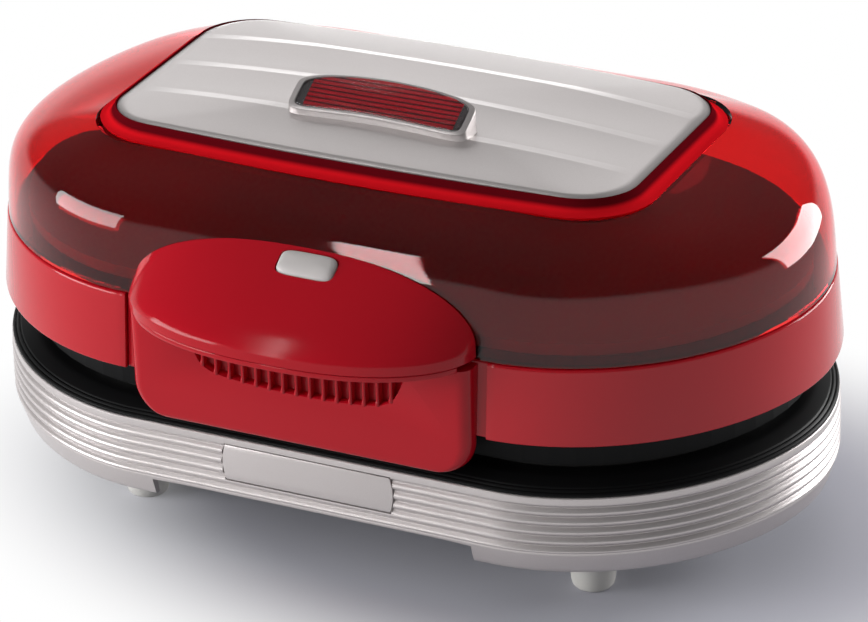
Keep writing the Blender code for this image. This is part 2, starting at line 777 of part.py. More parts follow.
def cup_rod(radius_face, face_z, far_z, x, growth=0.0):
    """A drafted round cup between the plate's face and its floor."""
    low, high = sorted((face_z, far_z))
    face_radius = radius_face + growth
    far_radius = radius_face - CUP_DRAFT + growth
    at = (x, 0, (low + high) / 2)
    if face_z < far_z:
        return rod(face_radius, far_radius, high - low, at, None, 2 * ROUND_SEGMENTS)
    return rod(far_radius, face_radius, high - low, at, None, 2 * ROUND_SEGMENTS)


def build_plate(name, pivot, face_z, way):
    """A cast plate with two cups sunk away from its face; way is -1 down or 1 up."""
    back_z = face_z + way * PLATE_SKIN
    loops = [plan_loop(PLATE_INSET, face_z), plan_loop(PLATE_INSET, back_z)]
    plate = finish(name, loft(loops), pivot, "cast_aluminium")
    for side, word in ((-1, "left"), (1, "right")):
        outer_z = face_z + way * (CUP_DEPTH + CUP_SKIN)
        start_z = face_z + way * PLATE_SKIN / 2
        outer = cup_rod(CUP_RADIUS, start_z, outer_z, side * CUP_X, CUP_SKIN)
        join(plate, finish_cutter(f"{name}_cup_{word}", outer, pivot))
    studs = []
    if way < 0:
        studs = [(0, -STUD_Y), (0, STUD_Y)]
    for index, (x, y) in enumerate(studs):
        low = TRAY_TOP_Z + FIT_GAP
        stud = rod(STUD_RADIUS, STUD_RADIUS, face_z - PLATE_SKIN / 2 - low,
                   (x, y, (face_z - PLATE_SKIN / 2 + low) / 2), None, FINE_SEGMENTS)
        join(plate, finish_cutter(f"{name}_stud_{index + 1}", stud, pivot))
    for side, word in ((-1, "left"), (1, "right")):
        floor_z = face_z + way * CUP_DEPTH
        inner = cup_rod(CUP_RADIUS, face_z, floor_z, side * CUP_X)
        above = face_z - way * OVERRUN
        mouth = rod(CUP_RADIUS, CUP_RADIUS, OVERRUN + PLATE_SKIN / 4,
                    (side * CUP_X, 0, (above + face_z + way * PLATE_SKIN / 4) / 2),
                    None, 2 * ROUND_SEGMENTS)
        cut(plate, finish_cutter(f"{name}_well_{word}", inner, pivot))
        cut(plate, finish_cutter(f"{name}_mouth_{word}", mouth, pivot))
    return plate


def heater_path(z):
    """Open loop round both cups, with its two cold tails at the rear."""
    radius = HEATER_LOOP_RADIUS
    path = [(-HEATER_TAIL_X, HEATER_TAIL_Y, z), (-HEATER_TAIL_X, radius, z)]
    for step in range(1, HEATER_STEPS):
        turn = math.pi / 2 + math.pi * step / HEATER_STEPS
        path.append((-CUP_X + radius * math.cos(turn), radius * math.sin(turn), z))
    for step in range(1, HEATER_STEPS):
        turn = -math.pi / 2 + math.pi * step / HEATER_STEPS
        path.append((CUP_X + radius * math.cos(turn), radius * math.sin(turn), z))
    path += [(HEATER_TAIL_X, radius, z), (HEATER_TAIL_X, HEATER_TAIL_Y, z)]
    return path


def build_tube(name, pivot, material, path, radius):
    """A tube along points, as a curve with filled caps."""
    curve = bpy.data.curves.new(name, "CURVE")
    curve.dimensions = "3D"
    curve.bevel_depth = radius
    curve.bevel_resolution = 2
    curve.use_fill_caps = True
    spline = curve.splines.new("POLY")
    spline.points.add(len(path) - 1)
    for point, place_ in zip(spline.points, path):
        point.co = (*place_, 1)
    item = bpy.data.objects.new(name, curve)
    item.data.materials.append(MATERIALS[material])
    PARTS.objects.link(item)
    place(item, pivot, (0, 0, 0))
    return item


def build_tray():
    """Shallow bright tray that turns the lower element's heat upwards."""
    bottom = TRAY_TOP_Z - TRAY_SKIN
    lip = TRAY_TOP_Z + TRAY_LIP
    loops = [
        plan_loop(TRAY_INSET + TRAY_LIP, bottom),
        plan_loop(TRAY_INSET, lip),
        plan_loop(TRAY_INSET + TRAY_SKIN, lip),
        plan_loop(TRAY_INSET + TRAY_LIP + TRAY_SKIN, TRAY_TOP_Z),
    ]
    return finish("lower_reflector", loft(loops), BODY, "sheet_steel")


def build_controls():
    """Thermostat and fuse under the web between the cups, terminal block and cord gland."""
    web = LOWER_FACE_Z - PLATE_SKIN - FIT_GAP
    middle = (0, THERMOSTAT_Y, web - THERMOSTAT_HEIGHT / 2)
    shape = rod(THERMOSTAT_RADIUS, THERMOSTAT_RADIUS, THERMOSTAT_HEIGHT, middle)
    finish("thermostat", shape, BODY, "ceramic")
    centre = (0, FUSE_Y, web - FUSE_RADIUS)
    fuse = rod(FUSE_RADIUS, FUSE_RADIUS, FUSE_LENGTH, centre, ALONG_X, FINE_SEGMENTS)
    finish("thermal_fuse", fuse, BODY, "bright_steel")
    width, depth, height = BLOCK_SIZE
    low = COVER_TOP_Z + FIT_GAP
    block = box(
        (BLOCK_X - width / 2, BLOCK_Y - depth / 2, low),
        (BLOCK_X + width / 2, BLOCK_Y + depth / 2, low + height),
    )
    finish("terminal_block", block, BODY, "ceramic")
    build_gland()


def build_gland():
    """Inlet gland for the mains lead in the rear wall, with its bore."""
    wall = BODY_DEPTH / 2 + CREST_BULGE
    flange_length = GLAND_LENGTH / 3
    flange_y = wall + FIT_GAP + flange_length / 2
    flange = rod(GLAND_FLANGE, GLAND_RADIUS, flange_length, (GLAND_X, flange_y, GLAND_Z), ALONG_Y)
    gland = finish("cord_gland", flange, BODY, "black_plastic")
    inner_y = wall + flange_length / 2 - GLAND_LENGTH / 2
    inlet = (GLAND_X, inner_y, GLAND_Z)
    barrel = rod(GLAND_RADIUS, GLAND_RADIUS, GLAND_LENGTH, inlet, ALONG_Y, FINE_SEGMENTS)
    join(gland, finish_cutter("gland_barrel", barrel, BODY))
    bore = rod(GLAND_BORE, GLAND_BORE, GLAND_LENGTH * 3, inlet, ALONG_Y, FINE_SEGMENTS)
    cut(gland, finish_cutter("gland_bore_cutter", bore, BODY))
    return gland


def build_keeper():
    """Steel loop on the base rim that the latch nose hooks under."""
    front = -KEEPER_FRONT_Y
    keeper = finish(
        "latch_keeper",
        box((-KEEPER_HALF, front, KEEPER_LOW_Z), (KEEPER_HALF, front + KEEPER_THICK, KEEPER_TOP_Z)),
        BODY,
        "bright_steel",
    )
    half = KEEPER_HALF - KEEPER_POST
    window = box(
        (-half, front - OVERRUN, RIM_CREST_Z + FIT_GAP),
        (half, front + KEEPER_THICK + OVERRUN, KEEPER_TOP_Z - KEEPER_BAR),
    )
    cut(keeper, finish_cutter("keeper_window_cutter", window, BODY))
    return keeper


def build_hinge(side, word):
    """Hinge block on the base, arm on the lid and the pin through both."""
    x = side * HINGE_X
    half = KNUCKLE_LENGTH / 2
    wall = BODY_DEPTH / 2 + CREST_BULGE + FIT_GAP
    knuckle = rod(KNUCKLE_RADIUS, KNUCKLE_RADIUS, KNUCKLE_LENGTH, (x, HINGE_Y, HINGE_Z), ALONG_X)
    block = finish(f"hinge_block_{word}", knuckle, BODY, "black_plastic")
    foot = box((x - half, wall, BLOCK_LOW_Z), (x + half, HINGE_Y + KNUCKLE_RADIUS / 2, HINGE_Z))
    join(block, finish_cutter(f"hinge_foot_{word}", foot, BODY))
    slot_half = ARM_LENGTH / 2 + ARM_GAP
    slot = box(
        (x - slot_half, wall - OVERRUN, HINGE_Z - KNUCKLE_RADIUS - ARM_GAP),
        (x + slot_half, HINGE_Y + 2 * KNUCKLE_RADIUS, HINGE_Z + 2 * KNUCKLE_RADIUS),
    )
    cut(block, finish_cutter(f"hinge_slot_{word}", slot, BODY))
    bore_radius = HINGE_PIN_RADIUS + FIT_GAP
    bore = rod(bore_radius, bore_radius, 2 * KNUCKLE_LENGTH, (x, HINGE_Y, HINGE_Z), ALONG_X, FINE_SEGMENTS)
    bore_tool = finish_cutter(f"hinge_bore_{word}", bore, BODY)
    cut(block, bore_tool)
    arm_radius = KNUCKLE_RADIUS - FIT_GAP
    eye = rod(arm_radius, arm_radius, ARM_LENGTH, (0, 0, 0), ALONG_X)
    arm = finish(f"hinge_arm_{word}", eye, LID, "black_plastic", (x, HINGE_Y, HINGE_Z))
    tongue = box(
        (x - ARM_LENGTH / 2, BODY_DEPTH / 2 - FRAME_INSET + FIT_GAP, ARM_LOW_Z),
        (x + ARM_LENGTH / 2, HINGE_Y + arm_radius / 2, ARM_HIGH_Z),
    )
    join(arm, finish_cutter(f"arm_tongue_{word}", tongue, LID))
    web = box(
        (x - ARM_LENGTH / 2, HINGE_Y - arm_radius, HINGE_Z),
        (x + ARM_LENGTH / 2, HINGE_Y + arm_radius / 2, ARM_HIGH_Z - FIT_GAP),
    )
    join(arm, finish_cutter(f"arm_web_{word}", web, LID))
    cut(arm, bore_tool)
    length = KNUCKLE_LENGTH - 2 * FIT_GAP
    pin = rod(HINGE_PIN_RADIUS, HINGE_PIN_RADIUS, length, (0, 0, 0), ALONG_X, FINE_SEGMENTS)
    finish(f"hinge_pin_{word}", pin, BODY, "bright_steel", (x, HINGE_Y, HINGE_Z))


def build_lid_frame():
    """Black frame of the lid: lower wall, shelf for the plate and ledge for the red band."""
    shelf_z = UPPER_FACE_Z + PLATE_SKIN + FIT_GAP
    inner = FRAME_INSET + FRAME_WALL
    ledge_outer = BAND_LOW_INSET + BAND_WALL + FIT_GAP
    section = [
        (FRAME_INSET, FRAME_LOW_Z),
        (FRAME_INSET, LEDGE_TOP_Z - LEDGE_SKIN),
        (ledge_outer, LEDGE_TOP_Z - LEDGE_SKIN),
        (ledge_outer, LEDGE_TOP_Z),
        (FRAME_INSET, LEDGE_TOP_Z),
        (FRAME_INSET, FRAME_TOP_Z),
        (inner, FRAME_TOP_Z),
        (inner, shelf_z + LEDGE_SKIN),
        (inner + SHELF_REACH + FRAME_WALL, shelf_z + LEDGE_SKIN),
        (inner + SHELF_REACH + FRAME_WALL, shelf_z),
        (inner, shelf_z),
        (inner, FRAME_LOW_Z),
    ]
    frame = finish("lid_frame", plan_ring(section), LID, "black_plastic")
    slot = box(
        (LATCH_X - LATCH_HALF_X - FIT_GAP, -KEEPER_FRONT_Y - OVERRUN, LEDGE_TOP_Z - 2 * LEDGE_SKIN),
        (LATCH_X + LATCH_HALF_X + FIT_GAP, -BODY_DEPTH / 2 + FRAME_INSET, LEDGE_TOP_Z + OVERRUN),
    )
    cut(frame, finish_cutter("frame_slot_cutter", slot, LID))
    return frame


def band_section():
    """Closed section of the red band."""
    return [
        (BAND_LOW_INSET, BAND_LOW_Z),
        (BAND_TOP_INSET, BAND_TOP_Z),
        (BAND_TOP_INSET + BAND_WALL, BAND_TOP_Z),
        (BAND_LOW_INSET + BAND_WALL, BAND_LOW_Z),
    ]


def front_box(half, low_z, high_z):
    """Tool that takes the front middle of a ring, half to each side."""
    return box((-half, -BODY_DEPTH, low_z - OVERRUN), (half, 0, high_z + OVERRUN))


def build_band():
    """Red band round the lid, and the front bracket that carries the handle."""
    band = finish("lid_band", plan_ring(band_section()), LID, "red_gloss")
    gap_tool = front_box(BRACKET_HALF + JOINT_GAP, BAND_LOW_Z, BAND_TOP_Z)
    cut(band, finish_cutter("band_front_cutter", gap_tool, LID))
    bracket = finish("handle_bracket", plan_ring(band_section()), LID, "red_gloss")
    keep = finish_cutter("bracket_keep", front_box(BRACKET_HALF, BAND_LOW_Z, BAND_TOP_Z), LID)
    combine(bracket, keep, "INTERSECT")
    for side, word in ((-1, "left"), (1, "right")):
        radius = SCREW_RADIUS + FIT_GAP
        where = (side * HANDLE_SCREW_X, -BODY_DEPTH / 2, HANDLE_SCREW_Z)
        hole = rod(radius, radius, BAND_WALL * 6, where, ALONG_Y, FINE_SEGMENTS)
        cut(bracket, finish_cutter(f"bracket_hole_{word}", hole, LID))


def build_dome():
    """Clear dome from the seam over the shoulder to the pedestal that seats the top plate."""
    loops = [dome_loop(1 - step / DOME_STEPS, DOME_WALL) for step in range(DOME_STEPS + 1)]
    loops += [dome_loop(step / DOME_STEPS) for step in range(DOME_STEPS + 1)]
    top_z = TOP_EDGE_Z - PEDESTAL_DROP
    seat_z = TOP_EDGE_Z - TOP_THICK - FIT_GAP
    loops += [
        top_loop(SEAT_GAP + PEDESTAL_LIP, top_z),
        top_loop(SEAT_GAP, top_z),
        top_loop(SEAT_GAP, seat_z),
    ]
    dome = finish("dome", loft(loops), LID, "red_clear")
    notch = box(
        (BUTTON_X - NOTCH_HALF, -BODY_DEPTH, SEAM_Z - OVERRUN),
        (BUTTON_X + NOTCH_HALF, -NOTCH_REAR_Y, NOTCH_TOP_Z),
    )
    cut(dome, finish_cutter("dome_notch_cutter", notch, LID))
    return dome


def top_bow(x):
    """Share of the top plate's depth left at x, as its long sides bow outwards in the middle."""
    return 1 - TOP_BOW_SHARE * (x / TOP_HALF_X) ** 2


def top_loop(growth, z):
    """The top plate's outline, grown by a margin, at a height."""
    loop = rounded_loop(TOP_HALF_X + growth, TOP_HALF_Y + growth, TOP_CORNER + growth, z)
    return [(x, y * top_bow(x), z) for x, y, _ in loop]


def top_height(x, y):
    """Height of the crowned top plate at a plan point."""
    level_y = y / top_bow(x)
    angle = math.atan2(level_y, x)
    reach = rounded_reach(angle, TOP_HALF_X, TOP_HALF_Y, TOP_CORNER)
    share = min(math.hypot(x, level_y) / reach, 1.0)
    drop = TOP_END_DROP * (x / TOP_HALF_X) ** 2
    return TOP_EDGE_Z - drop + TOP_CROWN * (1 - share ** 2)


def build_top_plate():
    """Silver plate with a gentle crown, three tapering ridges and the badge's raised seat."""
    under_z = TOP_EDGE_Z - TOP_THICK
    edge = top_loop(0, under_z)
    side = [(x, y, top_height(x, y) - TOP_EDGE_ROUND) for x, y, _ in edge]
    loops = [edge, side]
    for share in TOP_SHARES:
        loops.append([(x * share, y * share, top_height(x * share, y * share)) for x, y, _ in edge])
    peak = (0, 0, top_height(0, 0))
    plate = finish("top_plate", loft(loops, peak=peak), LID, "silver_paint")
    for index in range(RIDGE_COUNT):
        middle = RIDGE_OFFSET_Y + (index - 1) * RIDGE_PITCH
        ridge = finish_cutter(f"plate_ridge_{index + 1}", ridge_shape(middle), LID)
        join(plate, ridge)
    join(plate, finish_cutter("badge_pod", pod_shape(), LID))
    cut(plate, finish_cutter("badge_pocket", pod_prism(BEZEL_WIDTH, -BEZEL_POCKET, OVERRUN), LID))
    return plate


def ridge_shape(middle):
    """A low ridge along X that tapers to nothing at its ends."""
    loops = []
    for station in range(RIDGE_STATIONS):
        share = 2 * station / (RIDGE_STATIONS - 1) - 1
        swell = math.sqrt(max(1 - abs(share) ** 3, 0.02))
        x = share * RIDGE_HALF_LENGTH
        ground = top_height(x, middle)
        half = RIDGE_HALF_WIDTH * swell
        rise = RIDGE_HEIGHT * swell
        loops.append([
            (x, middle - half, ground - RIDGE_HEIGHT),
            (x, middle - half / 2, ground + rise * HALF_SHARE),
            (x, middle + half / 4, ground + rise),
            (x, middle + half, ground - RIDGE_HEIGHT / 4),
            (x, middle + half, ground - RIDGE_HEIGHT),
        ])
    return loft(loops)


def pod_outline(margin):
    """Badge outline in its tilted plane, drawn in by a margin: straight below, arched above."""
    half = POD_HALF_X - margin
    outline = []
    for step in range(POD_STEPS):
        turn = 2 * math.pi * step / POD_STEPS
        power = 2 / POD_CORNER_POWER
        across = math.copysign(abs(math.cos(turn)) ** power, math.cos(turn))
        up = math.copysign(abs(math.sin(turn)) ** power, math.sin(turn))
        arch = POD_ARCH * (1 - across ** 2)
        height = (POD_HIGH + arch - margin) if up > 0 else (POD_LOW - margin)
        outline.append((half * across, height * up))
    return outline


def pod_point(u, v, lift):
    """A point of the badge's tilted plane in body axes, lifted along its normal."""
    y = POD_Y + v * math.cos(POD_TILT) - lift * math.sin(POD_TILT)
    z = POD_Z + v * math.sin(POD_TILT) + lift * math.cos(POD_TILT)
    return (u, y, z)


def pod_prism(margin, low, high):
    """The badge outline between two lifts above its tilted plane."""
    outline = pod_outline(margin)
    return loft([[pod_point(u, v, lift) for u, v in outline] for lift in (low, high)])


def pod_shape():
    """Raised seat of the badge: upright sides up to the tilted face."""
    face = [pod_point(u, v, 0) for u, v in pod_outline(0)]
    foot = [(x, y, POD_FOOT_Z) for x, y, _ in face]
    return loft([foot, face])


def build_badge():
    """Striped print plate and clear lens in the badge's pocket."""
    margin = BEZEL_WIDTH + FIT_GAP
    low = -BEZEL_POCKET + FIT_GAP
    print_plate = pod_prism(margin, low, low + PRINT_THICK)
    finish("badge_print", print_plate, LID, "red_print")
    lens_low = low + PRINT_THICK + FIT_GAP
    lens = pod_prism(margin, lens_low, lens_low + LENS_THICK)
    finish("badge_lens", lens, LID, "clear_lens")


def build_inner_cover():
    """Dark heat shield that closes the lid under the dome."""
    low = DECK_Z - DECK_EDGE
    loops = [
        plan_loop(DECK_INSET + DECK_SKIN, DECK_Z - DECK_SKIN),
        plan_loop(DECK_INSET + DECK_SKIN, low),
        plan_loop(DECK_INSET, low),
        plan_loop(DECK_INSET, DECK_Z),
    ]
    return finish("inner_cover", loft(loops), LID, "black_plastic")


def lip_point(turn, half, reach):
    """Plan point of the visor's lip: turn 0 at the right root, pi at the left root."""
    cosine = math.cos(turn)
    along = math.copysign(abs(cosine) ** (2 / LIP_POWER_X), cosine)
    out = max(math.sin(turn), 0.0) ** (2 / LIP_POWER_Y)
    return half * along, -(LIP_ROOT_Y + (reach - LIP_ROOT_Y) * out)


def cap_rear_height(x, half, end_z):
    """Height where the cap's roof meets the dome."""
    share = min(abs(x) / half, 1.0)
    return end_z + CAP_RISE * math.sqrt(1 - share ** CAP_EDGE_POWER)


def cap_rear_point(x_root, half, end_z):
    """The point on the dome's front where the roof ends, moved out by the clearance."""
    depth = BODY_DEPTH / 2 - DOME_INSET
    low, high = 0.0, 1.0
    for _ in range(30):
        share = (low + high) / 2
        x, y, z = dome_point(x_root, -depth, share)
        if z < cap_rear_height(x, half, end_z):
            low = share
        else:
            high = share
    x, y, z = dome_point(x_root, -depth, low)
    return (x, y - CAP_DOME_GAP, z)


def cap_station(turn):
    """One closed section of the handle cap, from the lip up the roof and back underneath."""
    x_root = ROOT_HALF * math.cos(turn)
    x, y = lip_point(turn, ROOT_HALF, LIP_REACH)
    rear = cap_rear_point(x_root, ROOT_HALF, CAP_END_Z)
    edge_x, edge_y = lip_point(turn, ROOT_HALF - LIP_ROUND / 3, LIP_REACH - LIP_ROUND)
    edge = (edge_x, edge_y, LIP_HIGH_Z + min(LIP_ROUND, (rear[2] - LIP_HIGH_Z) / 2))
    outer = [(x, y, LIP_LOW_Z), (x, y, LIP_HIGH_Z), edge]
    crown = CAP_CROWN * math.sin(turn)
    for share in (1 / 3, 2 / 3):
        point = mixed(edge, rear, share)
        outer.append((point[0], point[1], point[2] + crown))
    outer.append(rear)
    half = ROOT_HALF - CAP_WALL
    inner_rear = cap_rear_point(half * math.cos(turn), half, CAP_END_Z - CAP_WALL)
    inner_x, inner_y = lip_point(turn, half, LIP_REACH - CAP_WALL)
    inner_edge = (inner_x, inner_y, LIP_HIGH_Z - CAP_WALL / 3)
    middle = mixed(inner_edge, inner_rear, HALF_SHARE)
    raised = (middle[0], middle[1], middle[2] + crown)
    inner = [inner_rear, raised, inner_edge, (inner_x, inner_y, LIP_LOW_Z)]
    return outer + inner


def build_handle_cap():
    """Visor of the handle: a thin shell from the lip up to the dome, with the button's hole."""
    stations = [cap_station(math.pi * step / (CAP_STATIONS - 1)) for step in range(CAP_STATIONS)]
    cap = finish("handle_cap", loft(stations), LID, "red_gloss")
    hole = button_prism(BUTTON_GAP, BUTTON_FLOOR_Z - OVERRUN, SHOULDER_TOP_Z)
    cut(cap, finish_cutter("button_hole_cutter", hole, LID))
    return cap


def button_outline(margin):
    """Rounded outline of the button, seen from above."""
    half_y = (BUTTON_FRONT_Y - BUTTON_REAR_Y) / 2 + margin
    middle_y = -(BUTTON_FRONT_Y + BUTTON_REAR_Y) / 2
    outline = []
    for step in range(BUTTON_STEPS):
        turn = 2 * math.pi * step / BUTTON_STEPS
        power = 2 / BUTTON_CORNER_POWER
        across = math.copysign(abs(math.cos(turn)) ** power, math.cos(turn))
        up = math.copysign(abs(math.sin(turn)) ** power, math.sin(turn))
        outline.append((BUTTON_X + (BUTTON_HALF_X + margin) * across, middle_y + half_y * up))
    return outline


def button_prism(margin, low, high):
    """The button's outline as an upright prism."""
    outline = button_outline(margin)
    return loft([[(x, y, z) for x, y in outline] for z in (low, high)])


def roof_height(y):
    """Height of the cap's roof on its middle line."""
    rear = cap_rear_point(0, ROOT_HALF, CAP_END_Z)
    front_y = -(LIP_REACH - LIP_ROUND)
    front_z = LIP_HIGH_Z + LIP_ROUND
    share = (y - front_y) / (rear[1] - front_y)
    return front_z + (rear[2] - front_z) * share + CAP_CROWN * math.sin(math.pi * min(share, 1.0))


def build_button():
    """Grey release button, flush with the sloping roof, with the stem that works the latch."""
    outline = button_outline(0)
    low = [(x, y, BUTTON_FLOOR_Z) for x, y in outline]
    shoulder = [(x, y, roof_height(y)) for x, y in outline]
    inner = button_outline(-BUTTON_PROUD)
    top = [(x, y, roof_height(y) + BUTTON_PROUD) for x, y in inner]
    button = finish("release_button", loft([low, shoulder, top]), BUTTON, "pale_grey_plastic")
    section = [
        (-STEM_FRONT_Y, BUTTON_FLOOR_Z + BUTTON_PROUD),
        (-STEM_REAR_Y, BUTTON_FLOOR_Z + BUTTON_PROUD),
        (-STEM_REAR_Y, stem_foot(STEM_REAR_Y)),
        (-STEM_FRONT_Y, stem_foot(STEM_REAR_Y)),
    ]
    loops = [[(LATCH_X + side * STEM_HALF_X, y, z) for y, z in section] for side in (-1, 1)]
    join(button, finish_cutter("button_stem", loft(loops), BUTTON))
    return button


def stem_foot(y):
    """Height of the button stem's foot above the latch's ramp."""
    ramp_front_y = LATCH_FRONT_Y + RAMP_RUN
    ramp_front_z = LATCH_TOP_Z - RAMP_RUN
    return ramp_front_z + (ramp_front_y - y) + 2 * FIT_GAP


def build_latch():
    """Sliding latch: a plate with a ramp for the button's stem and a nose below the keeper."""
    front = -LATCH_FRONT_Y
    rear = -LATCH_REAR_Y
    nose_top = KEEPER_TOP_Z - KEEPER_BAR - FIT_GAP
    section = [
        (rear, LATCH_LOW_Z),
        (rear, LATCH_TOP_Z),
        (front, LATCH_TOP_Z),
        (front - RAMP_RUN, LATCH_TOP_Z - RAMP_RUN),
        (front - RAMP_RUN, LATCH_TOP_Z - RAMP_RUN - LATCH_THICK),
        (front, LATCH_TOP_Z - LATCH_THICK),
        (front, nose_top),
        (front - NOSE_REACH, nose_top),
        (front - NOSE_REACH, nose_top - NOSE_HEIGHT / 2),
        (front, LATCH_LOW_Z),
    ]
    loops = [[(LATCH_X + side * LATCH_HALF_X, y, z) for y, z in section] for side in (-1, 1)]
    return finish("latch_slider", loft(loops), LATCH, "bright_steel")


def build_spring():
    """Coil spring under the release button."""
    low = HANDLE_TOP_Z + FIT_GAP + SPRING_WIRE
    high = BUTTON_FLOOR_Z - FIT_GAP - SPRING_WIRE
    steps = SPRING_TURNS * SPRING_TURN_POINTS
    path = []
    for step in range(steps + 1):
        turn = 2 * math.pi * step / SPRING_TURN_POINTS
        height = low + (high - low) * step / steps
        x = SPRING_X + SPRING_RADIUS * math.cos(turn)
        y = SPRING_RADIUS * math.sin(turn) - SPRING_Y
        path.append((x, y, height))
    return build_tube("button_spring", LID, "bright_steel", path, SPRING_WIRE)


def build_grip():
    """Panel that closes the underside of the visor, where the fingers lift the lid."""
    high = LIP_LOW_Z - FIT_GAP
    low = high - GRIP_THICK
    half = ROOT_HALF - GRIP_EDGE_INSET
    outline = []
    for step in range(CAP_STATIONS):
        turn = math.pi * step / (CAP_STATIONS - 1)
        x, y = lip_point(turn, half, LIP_REACH - GRIP_EDGE_INSET)
        if y < -GRIP_REAR_Y:
            outline.append((x, y))
    corner = outline[0][0]
    outline = [(corner, -GRIP_REAR_Y)] + outline + [(-corner, -GRIP_REAR_Y)]
    panel = loft([[(x, y, z) for x, y in outline] for z in (low, high)])
    return finish("grip_panel", panel, LID, "red_gloss")


def handle_front(z):
    """Distance of the handle's front face from the body's middle at a height."""
    share = (z - HANDLE_LOW_Z) / (HANDLE_TOP_Z - HANDLE_LOW_Z)
    return HANDLE_FRONT_LOW + (HANDLE_FRONT_HIGH - HANDLE_FRONT_LOW) * share


def band_front(z):
    """Distance of the red band's front face from the body's middle at a height."""
    share = (z - BAND_LOW_Z) / (BAND_TOP_Z - BAND_LOW_Z)
    inset = BAND_LOW_INSET + (BAND_TOP_INSET - BAND_LOW_INSET) * max(share, 0.0)
    return BODY_DEPTH / 2 - inset


def handle_half(z):
    """Half width of the handle body, with its rounded lower corners."""
    below = max(HANDLE_LOW_Z + HANDLE_CORNER - z, 0.0)
    return HANDLE_HALF - HANDLE_CORNER + math.sqrt(max(HANDLE_CORNER ** 2 - below ** 2, 0.0))


def handle_loop(z, wall, level):
    """Plan outline of the handle body at a height; a wall gives the hollow, open at the back."""
    back = -(band_front(z) + HANDLE_BACK_GAP)
    front = -handle_front(z)
    round_ = min(HANDLE_EDGE_ROUND, (back - front) * EDGE_ROUND_SHARE)
    half = handle_half(z) - wall
    if wall:
        back += OVERRUN
        front += wall
        round_ = max(round_ - wall, FIT_GAP)
    outline = [(half, back)]
    for step in range(EDGE_STEPS + 1):
        turn = math.pi / 2 * step / EDGE_STEPS
        outline.append((half - round_ * (1 - math.cos(turn)), front + round_ * (1 - math.sin(turn))))
    mirrored = [(-x, y) for x, y in reversed(outline)]
    return [(x, y, level) for x, y in outline + mirrored]


def build_handle_body():
    """Front cover of the handle, open at the back, with a comb of finger slots."""
    heights = []
    for step in range(CORNER_STEPS + 1):
        turn = math.pi / 2 * step / CORNER_STEPS
        heights.append(HANDLE_LOW_Z + HANDLE_CORNER * (1 - math.cos(turn)))
    heights.append(HANDLE_TOP_Z)
    loops = [handle_loop(z, 0, z) for z in heights]
    body = finish("handle_body", loft(loops), LID, "red_gloss")
    lowest = HANDLE_LOW_Z + HANDLE_WALL
    levels = [lowest] + [z for z in heights[1:-1] if z > lowest + FIT_GAP] + [HANDLE_TOP_Z - HANDLE_WALL]
    inner = [handle_loop(z, HANDLE_WALL, z) for z in levels]
    cut(body, finish_cutter("handle_cavity", loft(inner), LID))
    for index in range(SLOT_COUNT):
        x = (index - (SLOT_COUNT - 1) / 2) * SLOT_PITCH
        half_run = (SLOT_COUNT - 1) / 2 * SLOT_PITCH
        low = SLOT_LOW_Z + SLOT_SMILE * (x / half_run) ** 2
        slot = box(
            (x - SLOT_WIDTH / 2, -HANDLE_FRONT_HIGH - OVERRUN, low),
            (x + SLOT_WIDTH / 2, -HANDLE_FRONT_HIGH + OVERRUN, SLOT_HIGH_Z),
        )
        cut(body, finish_cutter(f"slot_cutter_{index + 1}", slot, LID))
    return body


def build_handle_screws():
    """Two screws through the front bracket into the handle."""
    for side, word in ((-1, "left"), (1, "right")):
        inner_y = -(band_front(HANDLE_SCREW_Z) - BAND_WALL) + 2 * FIT_GAP
        x = side * HANDLE_SCREW_X
        head = rod(
            SCREW_HEAD_RADIUS, SCREW_HEAD_RADIUS, SCREW_HEAD,
            (0, SCREW_HEAD / 2, 0), ALONG_Y, FINE_SEGMENTS,
        )
        screw = finish(f"handle_screw_{word}", head, LID, "bright_steel", (x, inner_y, HANDLE_SCREW_Z))
        length = handle_front(HANDLE_SCREW_Z) - HANDLE_WALL - FIT_GAP + inner_y
        shank = rod(
            SCREW_RADIUS, SCREW_RADIUS, length + SCREW_HEAD / 2,
            (0, SCREW_HEAD / 4 - length / 2, 0), ALONG_Y, FINE_SEGMENTS,
        )
        join(screw, finish_cutter(f"handle_shank_{word}", shank, LID, (x, inner_y, HANDLE_SCREW_Z)))


def build_base():
    """Everything that stands on the table."""
    build_base_shell()
    build_front_badge()
    for side, across in ((-1, "left"), (1, "right")):
        for end, along in ((-1, "front"), (1, "rear")):
            build_foot(f"foot_{along}_{across}", side, end)
    build_bottom_cover()
    build_screws()
    build_base_rim()
    build_plate("lower_plate", BODY, LOWER_FACE_Z, -1)
    build_tube("lower_heater", BODY, "bright_steel", heater_path(LOWER_HEATER_Z), HEATER_RADIUS)
    build_tray()
    build_controls()
    build_keeper()


def build_lid():
    """Everything that swings up on the hinge."""
    build_lid_frame()
    build_plate("upper_plate", LID, UPPER_FACE_Z, 1)
    build_tube("upper_heater", LID, "bright_steel", heater_path(UPPER_HEATER_Z), HEATER_RADIUS)
    build_inner_cover()
    build_band()
    build_dome()
    build_top_plate()
    build_badge()
    build_handle_body()
    build_grip()
    build_handle_cap()
    build_handle_screws()


build_base()
build_lid()
for hinge_side, hinge_word in ((-1, "left"), (1, "right")):
    build_hinge(hinge_side, hinge_word)
build_button()
build_spring()
build_latch()
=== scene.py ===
"""Looks for the hamburger maker: camera, studio, finishes and the finely made visible pieces.

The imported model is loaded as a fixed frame. Sizes below are millimetres in body axes: X to the
right, the front is -Y, Z up from the table. The body's middle lies CENTRE_Y behind the frame's.
"""

import logging
import math
from dataclasses import dataclass, replace
from enum import Enum
from functools import cache
from typing import Any, Optional, Sequence

import bmesh
import bpy
from mathutils import Matrix, Vector

